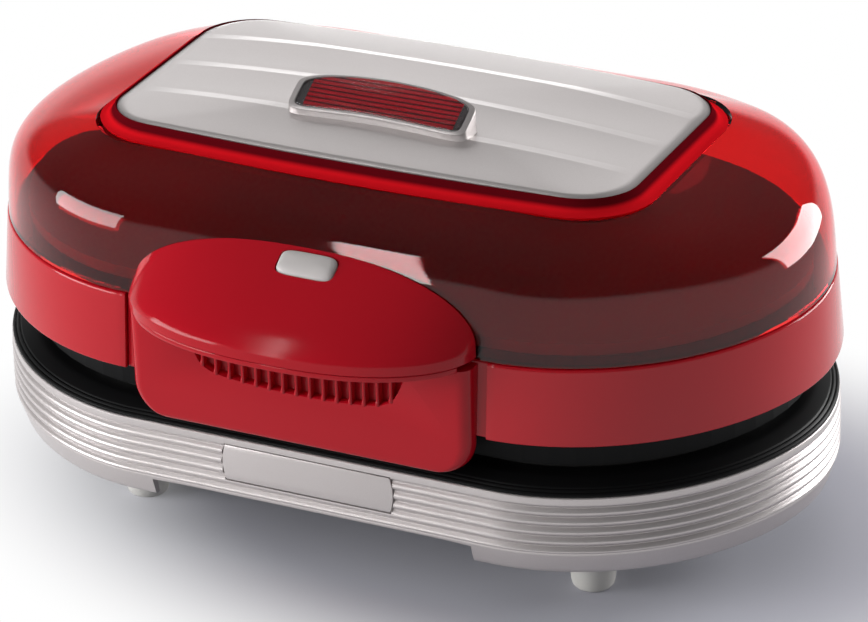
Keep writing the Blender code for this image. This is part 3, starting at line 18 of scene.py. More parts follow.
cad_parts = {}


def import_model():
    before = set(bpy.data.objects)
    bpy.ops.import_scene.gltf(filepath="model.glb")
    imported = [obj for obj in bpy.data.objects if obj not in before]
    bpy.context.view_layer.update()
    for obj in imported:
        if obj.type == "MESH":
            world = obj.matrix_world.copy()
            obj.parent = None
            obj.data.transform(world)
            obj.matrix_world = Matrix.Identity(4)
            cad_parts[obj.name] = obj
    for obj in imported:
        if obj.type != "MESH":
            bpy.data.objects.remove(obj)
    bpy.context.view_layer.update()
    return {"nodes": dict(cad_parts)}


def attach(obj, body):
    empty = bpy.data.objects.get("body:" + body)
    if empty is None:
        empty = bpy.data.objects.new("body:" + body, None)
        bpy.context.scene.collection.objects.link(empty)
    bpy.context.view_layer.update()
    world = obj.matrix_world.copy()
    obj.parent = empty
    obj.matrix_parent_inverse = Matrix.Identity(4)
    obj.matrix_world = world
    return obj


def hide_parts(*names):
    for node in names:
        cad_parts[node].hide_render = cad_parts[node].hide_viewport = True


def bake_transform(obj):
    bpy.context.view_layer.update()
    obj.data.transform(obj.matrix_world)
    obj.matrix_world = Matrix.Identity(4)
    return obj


Pair = tuple[float, float]
Point = tuple[float, float, float]
Box = tuple[Point, Point]
Loop = list[Point]
Solid = bmesh.types.BMesh
Tree = bpy.types.NodeTree
Socket = bpy.types.NodeSocket

MM = 0.001
CENTRE_Y = 7.5
# Corners this near are one, a tool reaches FAR past the body or OVERRUN past a face, and a
# rounded corner takes at most CORNER_SHARE of each edge.
WELD = 0.002
FAR = 120.0
OVERRUN = 5.0
CORNER_SHARE = 0.45
TINY = 1e-9
# Sockets of a Mix node that mixes colours.
MIX_A, MIX_B, MIX_RESULT = 6, 7, 2
WHITE = "FFFFFF"
SMOOTH = "SMOOTHSTEP"

log = logging.getLogger("hamburger_maker")


class Carrier(Enum):
    """The bodies of the frame that a piece can ride on."""

    BASE = "base"
    LID = "lid"
    BUTTON = "button"


class Carve(Enum):
    """What a tool does to the solid it meets."""

    CUT = "DIFFERENCE"
    JOIN = "UNION"
    KEEP = "INTERSECT"


def linear(code: str) -> tuple[float, ...]:
    """Turns an sRGB colour of six hex digits to Blender's linear one with an alpha of 1."""
    parts = [int(code[at : at + 2], 16) / 255 for at in (0, 2, 4)]
    return (*(c / 12.92 if c <= 0.04045 else ((c + 0.055) / 1.055) ** 2.4 for c in parts), 1.0)


def add_node(
    tree: Tree,
    kind: str,
    settings: Optional[dict[Any, Any]] = None,
    links: Optional[dict[Any, Socket]] = None,
) -> bpy.types.Node:
    """Adds one node with its settings and links.

    Args:
        tree: the node tree.
        kind: the node's type name.
        settings: property names, or input names and numbers, and their values.
        links: input names or numbers and the output sockets that feed them.

    Returns:
        The node.
    """
    node = tree.nodes.new(kind)
    for key, value in (settings or {}).items():
        if isinstance(key, str) and hasattr(node, key):
            setattr(node, key, value)
        else:
            node.inputs[key].default_value = value
    for key, socket in (links or {}).items():
        tree.links.new(socket, node.inputs[key])
    return node


def per_mm(size: float) -> float:
    """Texture scale that gives features of a size in millimetres on coordinates in metres."""
    return 1 / (size * MM)


def noise(tree: Tree, where: Socket, size: float, detail: float) -> Socket:
    """A noise whose spots have a size in millimetres."""
    settings = {"Scale": per_mm(size), "Detail": detail}
    return add_node(tree, "ShaderNodeTexNoise", settings, {"Vector": where}).outputs["Fac"]


def ranged(
    tree: Tree, value: Socket, span: Pair, onto: Pair = (0.0, 1.0), kind: str = "LINEAR"
) -> Socket:
    """Maps a value from one span onto another.

    Args:
        tree: the node tree.
        value: what is mapped.
        span: the values that give the two ends of the result.
        onto: the two ends of the result.
        kind: how the result runs between them.

    Returns:
        The mapped value.
    """
    settings = {
        "interpolation_type": kind,
        "From Min": span[0], "From Max": span[1], "To Min": onto[0], "To Max": onto[1],
    }
    return add_node(tree, "ShaderNodeMapRange", settings, {"Value": value}).outputs["Result"]


def combined(tree: Tree, operation: str, first: Socket, second: Socket) -> Socket:
    """Two values put together by a Math node, such as their product or the larger one."""
    links = {0: first, 1: second}
    return add_node(tree, "ShaderNodeMath", {"operation": operation}, links).outputs["Value"]


def new_material(
    name: str, constants: dict[str, Any]
) -> tuple[bpy.types.Material, Tree, bpy.types.Node]:
    """Makes a material with constants set on its shader's own sockets.

    Args:
        name: its name.
        constants: socket names of the Principled shader and their values.

    Returns:
        The material, its tree and its Principled shader.
    """
    made = bpy.data.materials.new(name)
    made.use_nodes = True
    shader = made.node_tree.nodes["Principled BSDF"]
    for socket, value in constants.items():
        shader.inputs[socket].default_value = value
    return made, made.node_tree, shader


@dataclass(frozen=True)
class Finish:
    """A surface by its real material and how it was made.

    The colour pair drifts over patch_mm, the roughness over the same patches, and the bump is a
    noise of grain_mm with depth_mm from top to bottom.
    """

    name: str
    colour: str
    second: str
    roughness: float
    slot: str = ""
    rough_spread: float = 0.04
    patch_mm: float = 60.0
    patch_detail: float = 3.0
    patch_span: Pair = (0.3, 0.7)
    grain_mm: float = 0.6
    grain_detail: float = 2.0
    depth_mm: float = 0.004
    metallic: float = 0.0
    ior: float = 1.5
    specular: float = 0.5
    transmission: float = 0.0

    def coordinates(self, tree: Tree) -> Socket:
        """Object coordinates in metres."""
        return add_node(tree, "ShaderNodeTexCoord").outputs["Object"]

    def share(self, tree: Tree, where: Socket, patches: Socket) -> Socket:
        """Share of the second colour: here the slow noise of the patches."""
        return patches

    def material(self) -> bpy.types.Material:
        """Builds the material.

        Returns:
            The material, with its colour, roughness and bump from nodes.
        """
        made, tree, shader = new_material(self.name, {
            "Metallic": self.metallic, "IOR": self.ior, "Specular IOR Level": self.specular,
            "Transmission Weight": self.transmission,
        })
        where = self.coordinates(tree)
        patches = noise(tree, where, self.patch_mm, self.patch_detail)
        colours = {"data_type": "RGBA", MIX_A: linear(self.colour), MIX_B: linear(self.second)}
        mixed = add_node(tree, "ShaderNodeMix", colours, {0: self.share(tree, where, patches)})
        ends = (max(self.roughness - self.rough_spread, 0.0), self.roughness + self.rough_spread)
        relief = {"Strength": 1.0, "Distance": self.depth_mm * MM}
        grain = noise(tree, where, self.grain_mm, self.grain_detail)
        bump = add_node(tree, "ShaderNodeBump", relief, {"Height": grain})
        tree.links.new(mixed.outputs[MIX_RESULT], shader.inputs["Base Color"])
        tree.links.new(ranged(tree, patches, self.patch_span, ends), shader.inputs["Roughness"])
        tree.links.new(bump.outputs["Normal"], shader.inputs["Normal"])
        return made


@dataclass(frozen=True)
class FlakePaint(Finish):
    """Metallic paint: aluminium flakes under a thin lacquer, seen as a faint sparkle."""

    flake_mm: float = 0.15
    flake_tones: Pair = (0.25, 0.75)
    patch_weight: float = 0.5

    def share(self, tree: Tree, where: Socket, patches: Socket) -> Socket:
        """Speckles the paint with flakes lighter and darker than its mean.

        Args:
            tree: the node tree.
            where: object coordinates.
            patches: the slow noise.

        Returns:
            The share of the second colour.
        """
        cells = {"Scale": per_mm(self.flake_mm)}
        flakes = add_node(tree, "ShaderNodeTexVoronoi", cells, {"Vector": where})
        tone = ranged(tree, flakes.outputs["Color"], (0.0, 1.0), self.flake_tones)
        weighed = {"operation": "MULTIPLY_ADD", 1: self.patch_weight}
        return add_node(tree, "ShaderNodeMath", weighed, {0: patches, 2: tone}).outputs["Value"]


@dataclass(frozen=True)
class ClearTint(Finish):
    """Polished transparent plastic, dyed through."""

    transmission: float = 1.0


@dataclass(frozen=True)
class PaintedGlowAndShade(Finish):
    """Plastic with painted light: a painted glow of its first colour low down, turning with height
    to painted shade of its second.
    """

    low_mm: float = 139.3
    high_mm: float = 140.8

    def share(self, tree: Tree, where: Socket, patches: Socket) -> Socket:
        """Share of the painted shade: grows with the height on the piece."""
        height = add_node(tree, "ShaderNodeSeparateXYZ", links={"Vector": where}).outputs["Z"]
        return ranged(tree, height, (self.low_mm * MM, self.high_mm * MM), kind=SMOOTH)


@dataclass(frozen=True)
class StripedPrint(Finish):
    """Printed foil with fine lines of the second colour across a coloured ground."""

    pitch_mm: float = 1.6
    line_span: Pair = (0.6, 0.8)
    wave_bands: int = 20

    def share(self, tree: Tree, where: Socket, patches: Socket) -> Socket:
        """Draws even lines along X, one every pitch of the way up the plate.

        Args:
            tree: the node tree.
            where: object coordinates.
            patches: the slow noise.

        Returns:
            The share of the second colour.
        """
        scale = per_mm(self.pitch_mm) * math.tau / self.wave_bands
        bands = {"bands_direction": "Y", "Scale": scale}
        lines = add_node(tree, "ShaderNodeTexWave", bands, {"Vector": where})
        return ranged(tree, lines.outputs["Fac"], self.line_span)


@dataclass(frozen=True)
class DrawnSteel(Finish):
    """Zinc plated or rolled steel: fine lines from the rolls along one axis."""

    stretch: Point = (1.0, 1.0, 0.05)

    def coordinates(self, tree: Tree) -> Socket:
        """Object coordinates drawn out along the rolling direction."""
        where = {"Vector": super().coordinates(tree)}
        return add_node(tree, "ShaderNodeMapping", {"Scale": self.stretch}, where).outputs[0]


# Silver lacquer over moulded ABS gives a satin metal look with a soft, broad highlight.
SILVER_PAINT = FlakePaint(
    name="silver_lacquer_on_abs", slot="silver_paint", colour="AFA8A7", second="BFB9B8",
    roughness=0.32, rough_spread=0.02, metallic=0.5, grain_mm=0.3, depth_mm=0.0015,
)
# Red ABS straight from a polished mould: deep colour, mirror-like lights, faint ripple.
RED_ABS = Finish(
    name="polished_red_abs", slot="red_gloss", colour="B51120", second="AC0F1D", roughness=0.12,
    rough_spread=0.03, grain_mm=9.0, depth_mm=0.008, specular=0.32,
)
# The same red plastic on the handle, made slightly darker as painted shade, with fainter
# reflections.
HANDLE_RED_ABS = replace(
    RED_ABS, name="polished_red_abs_handle_painted_shade", colour="B01020", second="A60E1C", specular=0.2
)
# Matt dark red sheet behind the comb: painted shade, standing in for the dark inside of the handle
# seen through the slots.
PAINTED_SHADE_RED = Finish(
    name="painted_shade_dark_red", slot="red_gloss", colour="1C0204", second="160203", roughness=0.8,
    grain_mm=0.8, depth_mm=0.01, specular=0.1,
)
# Black ABS with a fine spark-eroded mould texture: dull, slightly grey lights.
BLACK_ABS = Finish(
    name="textured_black_abs", slot="black_plastic", colour="0A0A0B", second="101011",
    roughness=0.42, rough_spread=0.05, grain_mm=0.7, depth_mm=0.01, specular=0.09,
)
# Transparent red polycarbonate from a polished mould: sharp reflections, deep tint.
RED_CLEAR = ClearTint(
    name="clear_red_polycarbonate", slot="red_clear", colour="EE2A33", second="EA242E",
    roughness=0.02, rough_spread=0.01, grain_mm=30.0, depth_mm=0.01, ior=1.4,
)
# The dome's step round the plate: red plastic with a painted glow at its foot and painted shade up
# under the plate's edge.
STEP_RED = PaintedGlowAndShade(
    name="red_step_painted_glow_and_shade", slot="red_gloss", colour="D2141E", second="580810",
    roughness=0.6, grain_mm=6.0, depth_mm=0.008, specular=0.0,
)
# Dark grey ABS of the cover under the dome, which the clear red turns to a deep glow.
DARK_ABS = Finish(
    name="moulded_dark_grey_abs", colour="665C5C", second="706666", roughness=0.5, grain_mm=0.8,
    depth_mm=0.01, specular=0.2,
)
# Clear acrylic over the badge: a soft sheen in place of sharp reflections.
LENS_ACRYLIC = ClearTint(
    name="clear_acrylic", slot="clear_lens", colour="FFFFFF", second="FBFBFB", roughness=0.16,
    rough_spread=0.01, grain_mm=20.0, ior=1.3,
)
# Printed foil under the lens: deep red ground with darker hairlines.
BADGE_FOIL = StripedPrint(
    name="striped_red_foil", slot="red_print", colour="C41426", second="5E0812", roughness=0.4,
    specular=0.2,
)
# Chrome plate at the badge's ends: it mirrors the room darkly.
DARK_CHROME = Finish(
    name="dark_chrome_plate", slot="bright_steel", colour="8A8486", second="7C7678", roughness=0.22,
    metallic=1.0,
)
# Pale grey ABS of the button: an even matt from a fine mould texture.
GREY_ABS = Finish(
    name="satin_pale_grey_abs", slot="pale_grey_plastic", colour="C1BCBA", second="BBB6B4",
    roughness=0.38, grain_mm=0.5, depth_mm=0.006,
)
# Non-stick coat sprayed on cast aluminium: dark, speckled, dull.
NON_STICK = Finish(
    name="non_stick_on_cast_aluminium", colour="1C1B1B", second="2B2A29", roughness=0.46,
    rough_spread=0.07, patch_mm=4.0, grain_mm=1.0, depth_mm=0.03, metallic=0.2,
)
# Zinc plated pressed steel: pale and a little cloudy.
ZINC_STEEL = DrawnSteel(
    name="zinc_plated_steel", slot="bright_steel", colour="A9A8A4", second="C2C1BD", roughness=0.32,
    metallic=1.0, patch_mm=6.0, grain_mm=0.8, depth_mm=0.006,
)
# Rolled sheet of the reflector: bright, with lines along X.
BRIGHT_SHEET = DrawnSteel(
    name="rolled_bright_sheet", colour="B9B8B4", second="CFCECA", roughness=0.28, metallic=1.0,
    patch_mm=5.0, stretch=(0.05, 1.0, 1.0),
)
# Grey elastomer of the feet: soft, its colour made paler as painted light, since the feet stand in
# the shade under the body.
FOOT_RUBBER = Finish(
    name="moulded_grey_elastomer_painted_light", slot="foot_rubber", colour="CFCDC8", second="C2C0BB",
    roughness=0.6, grain_mm=0.8, depth_mm=0.02, specular=0.3,
)
# Glazed steatite of the terminal block and thermostat: a warm white ceramic sheen.
STEATITE = Finish(
    name="glazed_steatite", colour="D8D0C2", second="C9C1B2", roughness=0.4, depth_mm=0.01,
)

NODE_FINISHES: dict[Finish, tuple[str, ...]] = {
    BLACK_ABS: ("bottom_cover", "cord_gland", "hinge_block", "hinge_arm", "lid_frame"),
    DARK_ABS: ("inner_cover",),
    NON_STICK: ("lower_plate", "upper_plate"),
    BRIGHT_SHEET: ("lower_reflector",),
    STEATITE: ("thermostat", "terminal_block"),
    ZINC_STEEL: (
        "bottom_screw", "lower_heater", "upper_heater", "thermal_fuse", "latch_keeper",
        "latch_slider", "hinge_pin", "handle_screw",
    ),
}


@cache
def material_of(finish: Finish) -> bpy.types.Material:
    """The material of a finish, built the first time it is asked for."""
    return finish.material()


def mix(first: float, second: float, share: float) -> float:
    """The value a share of the way from one to another."""
    return first + (second - first) * share


def signed_power(value: float, power: float) -> float:
    """A power that keeps the sign of its value."""
    return math.copysign(abs(value) ** power, value)


def spaced(whole: float, steps: int) -> list[float]:
    """Values from 0 to the whole in equal steps."""
    return [whole * step / steps for step in range(steps + 1)]


def linked(name: str, data: bpy.types.ID) -> bpy.types.Object:
    """Makes an object of some data and links it to the scene.

    Args:
        name: its name.
        data: its mesh, lamp or camera.

    Returns:
        The object.
    """
    made = bpy.data.objects.new(name, data)
    bpy.context.scene.collection.objects.link(made)
    return made


def meshed(name: str, shape: Solid) -> bpy.types.Object:
    """Turns a solid into an object of the scene.

    Args:
        name: its name.
        shape: the solid; it is used up.

    Returns:
        The object.
    """
    mesh = bpy.data.meshes.new(name)
    shape.to_mesh(mesh)
    shape.free()
    return linked(name, mesh)


def lofted(loops: Sequence[Loop], ring: bool = False, peak: Optional[Point] = None) -> Solid:
    """A solid through equal loops.

    Args:
        loops: the loops, all of one length.
        ring: closes the last loop onto the first instead of capping both.
        peak: a point that the last loop closes to, in place of a flat cap.

    Returns:
        The solid.
    """
    shape = bmesh.new()
    rows = [[shape.verts.new(point) for point in loop] for loop in loops]
    pairs = list(zip(rows, rows[1:]))
    if ring:
        pairs.append((rows[-1], rows[0]))
    else:
        shape.faces.new(rows[0][::-1])
    if peak is not None:
        top = shape.verts.new(peak)
        for vert, after in zip(rows[-1], rows[-1][1:] + rows[-1][:1]):
            shape.faces.new((vert, after, top))
    elif not ring:
        shape.faces.new(rows[-1])
    for low, high in pairs:
        for at, vert in enumerate(low):
            after = (at + 1) % len(low)
            shape.faces.new((vert, low[after], high[after], high[at]))
    bmesh.ops.recalc_face_normals(shape, faces=shape.faces[:])
    return shape


def prism(outline: Sequence[Pair], low: float, high: float) -> Solid:
    """An upright prism between two heights."""
    return lofted([[(x, y, z) for x, y in outline] for z in (low, high)])


def block(low: Point, high: Point) -> Solid:
    """A cutting block between its lowest and its highest corner.

    Args:
        low: the lowest corner.
        high: the highest corner.

    Returns:
        The solid.
    """
    shape = bmesh.new()
    size = Vector(high) - Vector(low)
    middle = (Vector(high) + Vector(low)) / 2
    matrix = Matrix.Translation(middle) @ Matrix.Diagonal((*size, 1))
    bmesh.ops.create_cube(shape, size=1, matrix=matrix)
    return shape


def rounded_section(corners: Sequence[Point], steps: int) -> list[Pair]:
    """A closed section with its corners rounded.

    Args:
        corners: (inset, height, radius) of each corner.
        steps: divisions of each rounding.

    Returns:
        Points of the section.
    """
    points: list[Pair] = []
    for at, (u, v, radius) in enumerate(corners):
        here = Vector((u, v))
        if radius <= 0:
            points.append((u, v))
            continue
        ends = []
        for other in (corners[at - 1], corners[(at + 1) % len(corners)]):
            way = Vector(other[:2]) - here
            ends.append(here + way.normalized() * min(radius, way.length * CORNER_SHARE))
        for t in spaced(1, steps):
            point = ends[0] * (1 - t) ** 2 + here * 2 * t * (1 - t) + ends[1] * t ** 2
            points.append((point.x, point.y))
    return points


def rounded_reach(angle: float, half_x: float, half_y: float, corner: float) -> float:
    """Distance from the centre to a rounded rectangle.

    Args:
        angle: direction from the centre.
        half_x: half the rectangle's length.
        half_y: half its depth.
        corner: its corner radius.

    Returns:
        The distance.
    """
    across, up = abs(math.cos(angle)), abs(math.sin(angle))
    reach = min(half_x / max(across, TINY), half_y / max(up, TINY))
    middle_x, middle_y = half_x - corner, half_y - corner
    if reach * across > middle_x and reach * up > middle_y:
        along = middle_x * across + middle_y * up
        square = along ** 2 - (middle_x ** 2 + middle_y ** 2 - corner ** 2)
        reach = along + math.sqrt(max(square, 0.0))
    return reach


@dataclass
class BodyPlan:
    """The outline of the body seen from above, and loops that follow it."""

    half_length: float = 150.0
    half_depth: float = 86.6
    end_reach: float = 83.7
    power: float = 1.89
    steps: int = 34
    side_shares: Pair = (0.66, 0.33)

    def outline(self, inset: float) -> list[Pair]:
        """The outline drawn in by an inset.

        Args:
            inset: distance inwards from the widest line.

        Returns:
            Points from the right tip, anticlockwise.
        """
        reach, depth = self.end_reach - inset, self.half_depth - inset
        straight = self.half_length - self.end_reach
        quarter = []
        for turn in spaced(math.pi / 2, self.steps):
            along = max(math.cos(turn), 0.0) ** (2 / self.power)
            quarter.append((straight + reach * along, depth * math.sin(turn) ** (2 / self.power)))
        quarter += [(straight * share, depth) for share in self.side_shares]
        left = [(-x, y) for x, y in reversed(quarter)]
        below = [(-x, -y) for x, y in quarter[1:]]
        right = [(x, -y) for x, y in reversed(quarter[1:])]
        return quarter + left + below + right

    def loop(self, inset: float, z: float) -> Loop:
        """The drawn-in outline at a height."""
        return [(x, y, z) for x, y in self.outline(inset)]

    def ring(self, section: Sequence[Pair]) -> Solid:
        """A ring along the outline from a closed section of (inset, height)."""
        return lofted([self.loop(inset, z) for inset, z in section], ring=True)


def carved(shape: Solid, tool: Solid, how: Carve) -> Solid:
    """Cuts, joins or keeps what a tool meets, and gives the result as a new solid.

    Args:
        shape: the solid; it is used up.
        tool: the tool; it is used up.
        how: what the tool does.

    Returns:
        The carved solid.
    """
    holders = []
    for part in (shape, tool):
        bmesh.ops.recalc_face_normals(part, faces=part.faces[:])
        holders.append(meshed("carving", part))
    change = holders[0].modifiers.new("carve", "BOOLEAN")
    change.operation = how.value
    change.object = holders[1]
    change.solver = "EXACT"
    done = bpy.data.meshes.new_from_object(
        holders[0].evaluated_get(bpy.context.evaluated_depsgraph_get())
    )
    result = bmesh.new()
    result.from_mesh(done)
    meshes = [holder.data for holder in holders] + [done]
    for holder in holders:
        bpy.data.objects.remove(holder, do_unlink=True)
    for mesh in meshes:
        bpy.data.meshes.remove(mesh)
    return result


def round_edges(
    shape: Solid, edges: list[bmesh.types.BMEdge], radius: float, segments: int
) -> None:
    """Rounds some edges of a solid in place.

    Args:
        shape: the solid.
        edges: the edges.
        radius: how far the rounding reaches.
        segments: divisions of the rounding.
    """
    bmesh.ops.bevel(
        shape, geom=edges, offset=radius, segments=segments, profile=0.5, affect="EDGES",
        clamp_overlap=True,
    )


@dataclass
class Piece:
    """A finished visible piece: its solid, finish, the frame nodes it stands for and carrier."""

    name: str
    shape: Solid
    finish: Finish
    nodes: tuple[str, ...] = ()
    carrier: Carrier = Carrier.LID
    bevel: float = 0.0
    sharp: float = 38.0
    stretch: Optional[tuple[Carrier, Point, Point]] = None

    @property
    def slot(self) -> str:
        """The name of its finish in the kept model."""
        return self.finish.slot

    def build(self) -> None:
        """Turns the solid, in millimetres, into an object that rides on its carrier.

        With stretch set, its transform is baked into the mesh and it rides on no carrier.
        """
        bmesh.ops.recalc_face_normals(self.shape, faces=self.shape.faces[:])
        if self.bevel > 0:
            self.soften()
        bmesh.ops.scale(self.shape, vec=(MM, MM, MM), verts=self.shape.verts)
        made = meshed(self.name, self.shape)
        made.location = (0, CENTRE_Y * MM, 0)
        made.data.shade_smooth()
        made.data.set_sharp_from_angle(angle=math.radians(self.sharp))
        made.data.materials.append(material_of(self.finish))
        if self.stretch:
            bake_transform(made)
        else:
            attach(made, self.carrier.value)
        if self.nodes:
            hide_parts(*self.nodes)
        self.slot
        log.info("%s: %d faces", self.name, len(made.data.polygons))

    def soften(self) -> None:
        """Breaks every sharp edge with a small radius, as a mould does."""
        bmesh.ops.remove_doubles(self.shape, verts=self.shape.verts, dist=WELD)
        limit = math.radians(self.sharp)
        edges = [
            edge
            for edge in self.shape.edges
            if len(edge.link_faces) == 2 and edge.calc_face_angle(0.0) > limit
        ]
        round_edges(self.shape, edges, self.bevel, segments=2)


@dataclass(frozen=True)
class Softbox:
    """A rectangular lamp round the object, by degrees, metres and watts.

    It is turned from the front towards the right, raised from the table and set at a reach.
    """

    turn: float
    rise: float
    reach: float
    size: Pair
    watts: float

    def place(self) -> Point:
        """Turns its angles and reach into a place.

        Returns:
            Where it hangs, in metres.
        """
        across, up = math.radians(self.turn), math.radians(self.rise)
        level = self.reach * math.cos(up)
        return (level * math.sin(across), -level * math.cos(across), self.reach * math.sin(up))


@dataclass
class Studio:
    """Camera at the photograph's angle, pale floor and soft lamps."""

    azimuth: float = 26.244
    elevation: float = 26.377
    roll: float = -1.611
    lens: float = 197.17
    sensor: float = 36.0
    far_clip: float = 50.0
    distance: float = 1633.5
    aim: Point = (5.995, CENTRE_Y, 66.43)
    lit_point: Point = (0.0, 0.0, 0.06)
    rear_box: Softbox = Softbox(-153, 31, 2.0, (1.15, 1.0), 5.1)
    rear_strip: Softbox = Softbox(-154, 6.5, 1.6, (0.5, 0.19), 1.4)
    left_box: Softbox = Softbox(-54, 13, 1.2, (0.78, 0.54), 12.0)
    right_box: Softbox = Softbox(139, 15, 1.3, (0.86, 0.6), 17.0)
    strip_rises: range = range(1, 65, 9)
    strip_half_degree: float = 0.5
    strip_across: float = -0.46
    strip_lean: float = 0.0005
    strip_reach: float = 1.19
    strip_height: float = 0.12
    strip_size: Pair = (0.056, 0.19)
    strip_watts: float = 0.39
    ambient: float = 0.3
    ceiling: float = 0.18
    horizon: Pair = (0.06, 0.24)
    floor_half: float = 6.0
    # Grey-blue of the paper near the object: painted shade, darker than the white beyond.
    painted_shade_floor_colour: str = "C6C6D0"
    floor_roughness: float = 0.9
    floor_specular: float = 0.1
    shade_centre: Point = (0.045, 0.01, 0.0)
    shade_size: Point = (0.235, 0.158, 1.0)
    shade_fade: Pair = (0.5, 1.0)

    def camera(self) -> None:
        """Creates the scene's camera, turned, raised and rolled about the point it aims at."""
        data = bpy.data.cameras.new("studio_camera")
        data.lens, data.sensor_width, data.clip_end = self.lens, self.sensor, self.far_clip
        holder = linked("studio_camera", data)
        matrix = Matrix.Translation(Vector(self.aim) * MM)
        for angle, axis in ((self.azimuth, "Z"), (90 - self.elevation, "X"), (self.roll, "Z")):
            matrix = matrix @ Matrix.Rotation(math.radians(angle), 4, axis)
        holder.matrix_world = matrix @ Matrix.Translation((0, 0, self.distance * MM))
        bpy.context.scene.camera = holder

    def lamp(self, name: str, place: Point, aim: Point, size: Pair, watts: float) -> None:
        """Adds a rectangular soft lamp.

        Args:
            name: its name.
            place: where it hangs, in metres.
            aim: what it points at, in metres.
            size: width and height in metres.
            watts: its power.
        """
        data = bpy.data.lights.new(name, "AREA")
        data.shape = "RECTANGLE"
        data.size, data.size_y = size
        data.energy = watts
        holder = linked(name, data)
        holder.location = place
        way = Vector(aim) - Vector(place)
        holder.rotation_euler = way.to_track_quat("-Z", "Y").to_euler()

    def softbox(self, name: str, box: Softbox) -> None:
        """Hangs one of the boxes, aimed at the middle of the object."""
        self.lamp(name, box.place(), self.lit_point, box.size, box.watts)

    def lamps(self) -> None:
        """Boxes at the rear, left and right rear, a low rear strip and an arched front strip."""
        self.softbox("rear_softbox", self.rear_box)
        self.softbox("rear_strip", self.rear_strip)
        self.softbox("left_softbox", self.left_box)
        for rise in self.strip_rises:
            turn = math.radians(rise + self.strip_half_degree)
            across = self.strip_across - self.strip_lean * rise
            aim = (across, 0.0, self.strip_height)
            out, up = -self.strip_reach * math.cos(turn), self.strip_reach * math.sin(turn)
            place = (across, out, self.strip_height + up)
            self.lamp(f"front_strip_{rise}", place, aim, self.strip_size, self.strip_watts)
        self.softbox("right_softbox", self.right_box)

    def seen(self, tree: Tree) -> Socket:
        """Tells the rays that see the pale background from those that only light the object.

        Args:
            tree: the node tree.

        Returns:
            1 for camera, glossy and transmission rays, else 0.
        """
        path = add_node(tree, "ShaderNodeLightPath").outputs
        clear = combined(tree, "MAXIMUM", path["Is Camera Ray"], path["Is Transmission Ray"])
        return combined(tree, "MAXIMUM", clear, path["Is Glossy Ray"])

    def world(self) -> None:
        """White surroundings up to the horizon and dimmer above, with a plain level as light."""
        world = bpy.data.worlds.new("studio_surroundings")
        bpy.context.scene.world = world
        world.use_nodes = True
        tree = world.node_tree
        tree.nodes.clear()
        where = {"Vector": add_node(tree, "ShaderNodeTexCoord").outputs["Generated"]}
        height = add_node(tree, "ShaderNodeSeparateXYZ", links=where).outputs["Z"]
        level = ranged(tree, height, self.horizon, (1.0, self.ceiling), SMOOTH)
        white = {"Color": linear(WHITE)}
        backdrop = add_node(tree, "ShaderNodeBackground", white, {"Strength": level})
        light = add_node(tree, "ShaderNodeBackground", {**white, "Strength": self.ambient})
        blend = add_node(tree, "ShaderNodeMixShader", links={
            0: self.seen(tree), 1: light.outputs["Background"], 2: backdrop.outputs["Background"],
        })
        add_node(tree, "ShaderNodeOutputWorld", links={"Surface": blend.outputs["Shader"]})

    def floor(self) -> None:
        """A pale floor that takes the object's shadow, with painted grey shade round the object."""
        shape = bmesh.new()
        half = self.floor_half
        corners = [(-half, -half, 0), (half, -half, 0), (half, half, 0), (-half, half, 0)]
        shape.faces.new([shape.verts.new(corner) for corner in corners])
        plane = meshed("studio_floor", shape)
        plane.data.materials.append(self.paper())

    def paper(self) -> bpy.types.Material:
        """Matt paper, painted grey-blue near the object as painted shade, that fades to plain white
        away from the object.

        Returns:
            The floor's material; near the object it keeps the shadow on its painted grey.
        """
        made, tree, shader = new_material("matt_paper_painted_shade", {
            "Base Color": linear(self.painted_shade_floor_colour), "Roughness": self.floor_roughness,
            "Specular IOR Level": self.floor_specular,
        })
        where = {"Vector": add_node(tree, "ShaderNodeTexCoord").outputs["Object"]}
        oval = add_node(tree, "ShaderNodeMapping", {
            "vector_type": "TEXTURE", "Location": self.shade_centre, "Scale": self.shade_size,
        }, where).outputs["Vector"]
        reach = add_node(tree, "ShaderNodeVectorMath", {"operation": "LENGTH"}, {0: oval})
        fade = ranged(tree, reach.outputs["Value"], self.shade_fade, kind=SMOOTH)
        share = combined(tree, "MULTIPLY", self.seen(tree), fade)
        white = add_node(tree, "ShaderNodeEmission", {"Color": linear(WHITE), "Strength": 1.0})
        blend = add_node(tree, "ShaderNodeMixShader", links={
            0: share, 1: shader.outputs["BSDF"], 2: white.outputs["Emission"],
        })
        tree.links.new(blend.outputs["Shader"], tree.nodes["Material Output"].inputs["Surface"])
        return made

    def build(self) -> None:
        """Sets up the whole studio."""
        self.camera()
        self.lamps()
        self.world()
        self.floor()
        bpy.context.scene.view_settings.view_transform = "Standard"


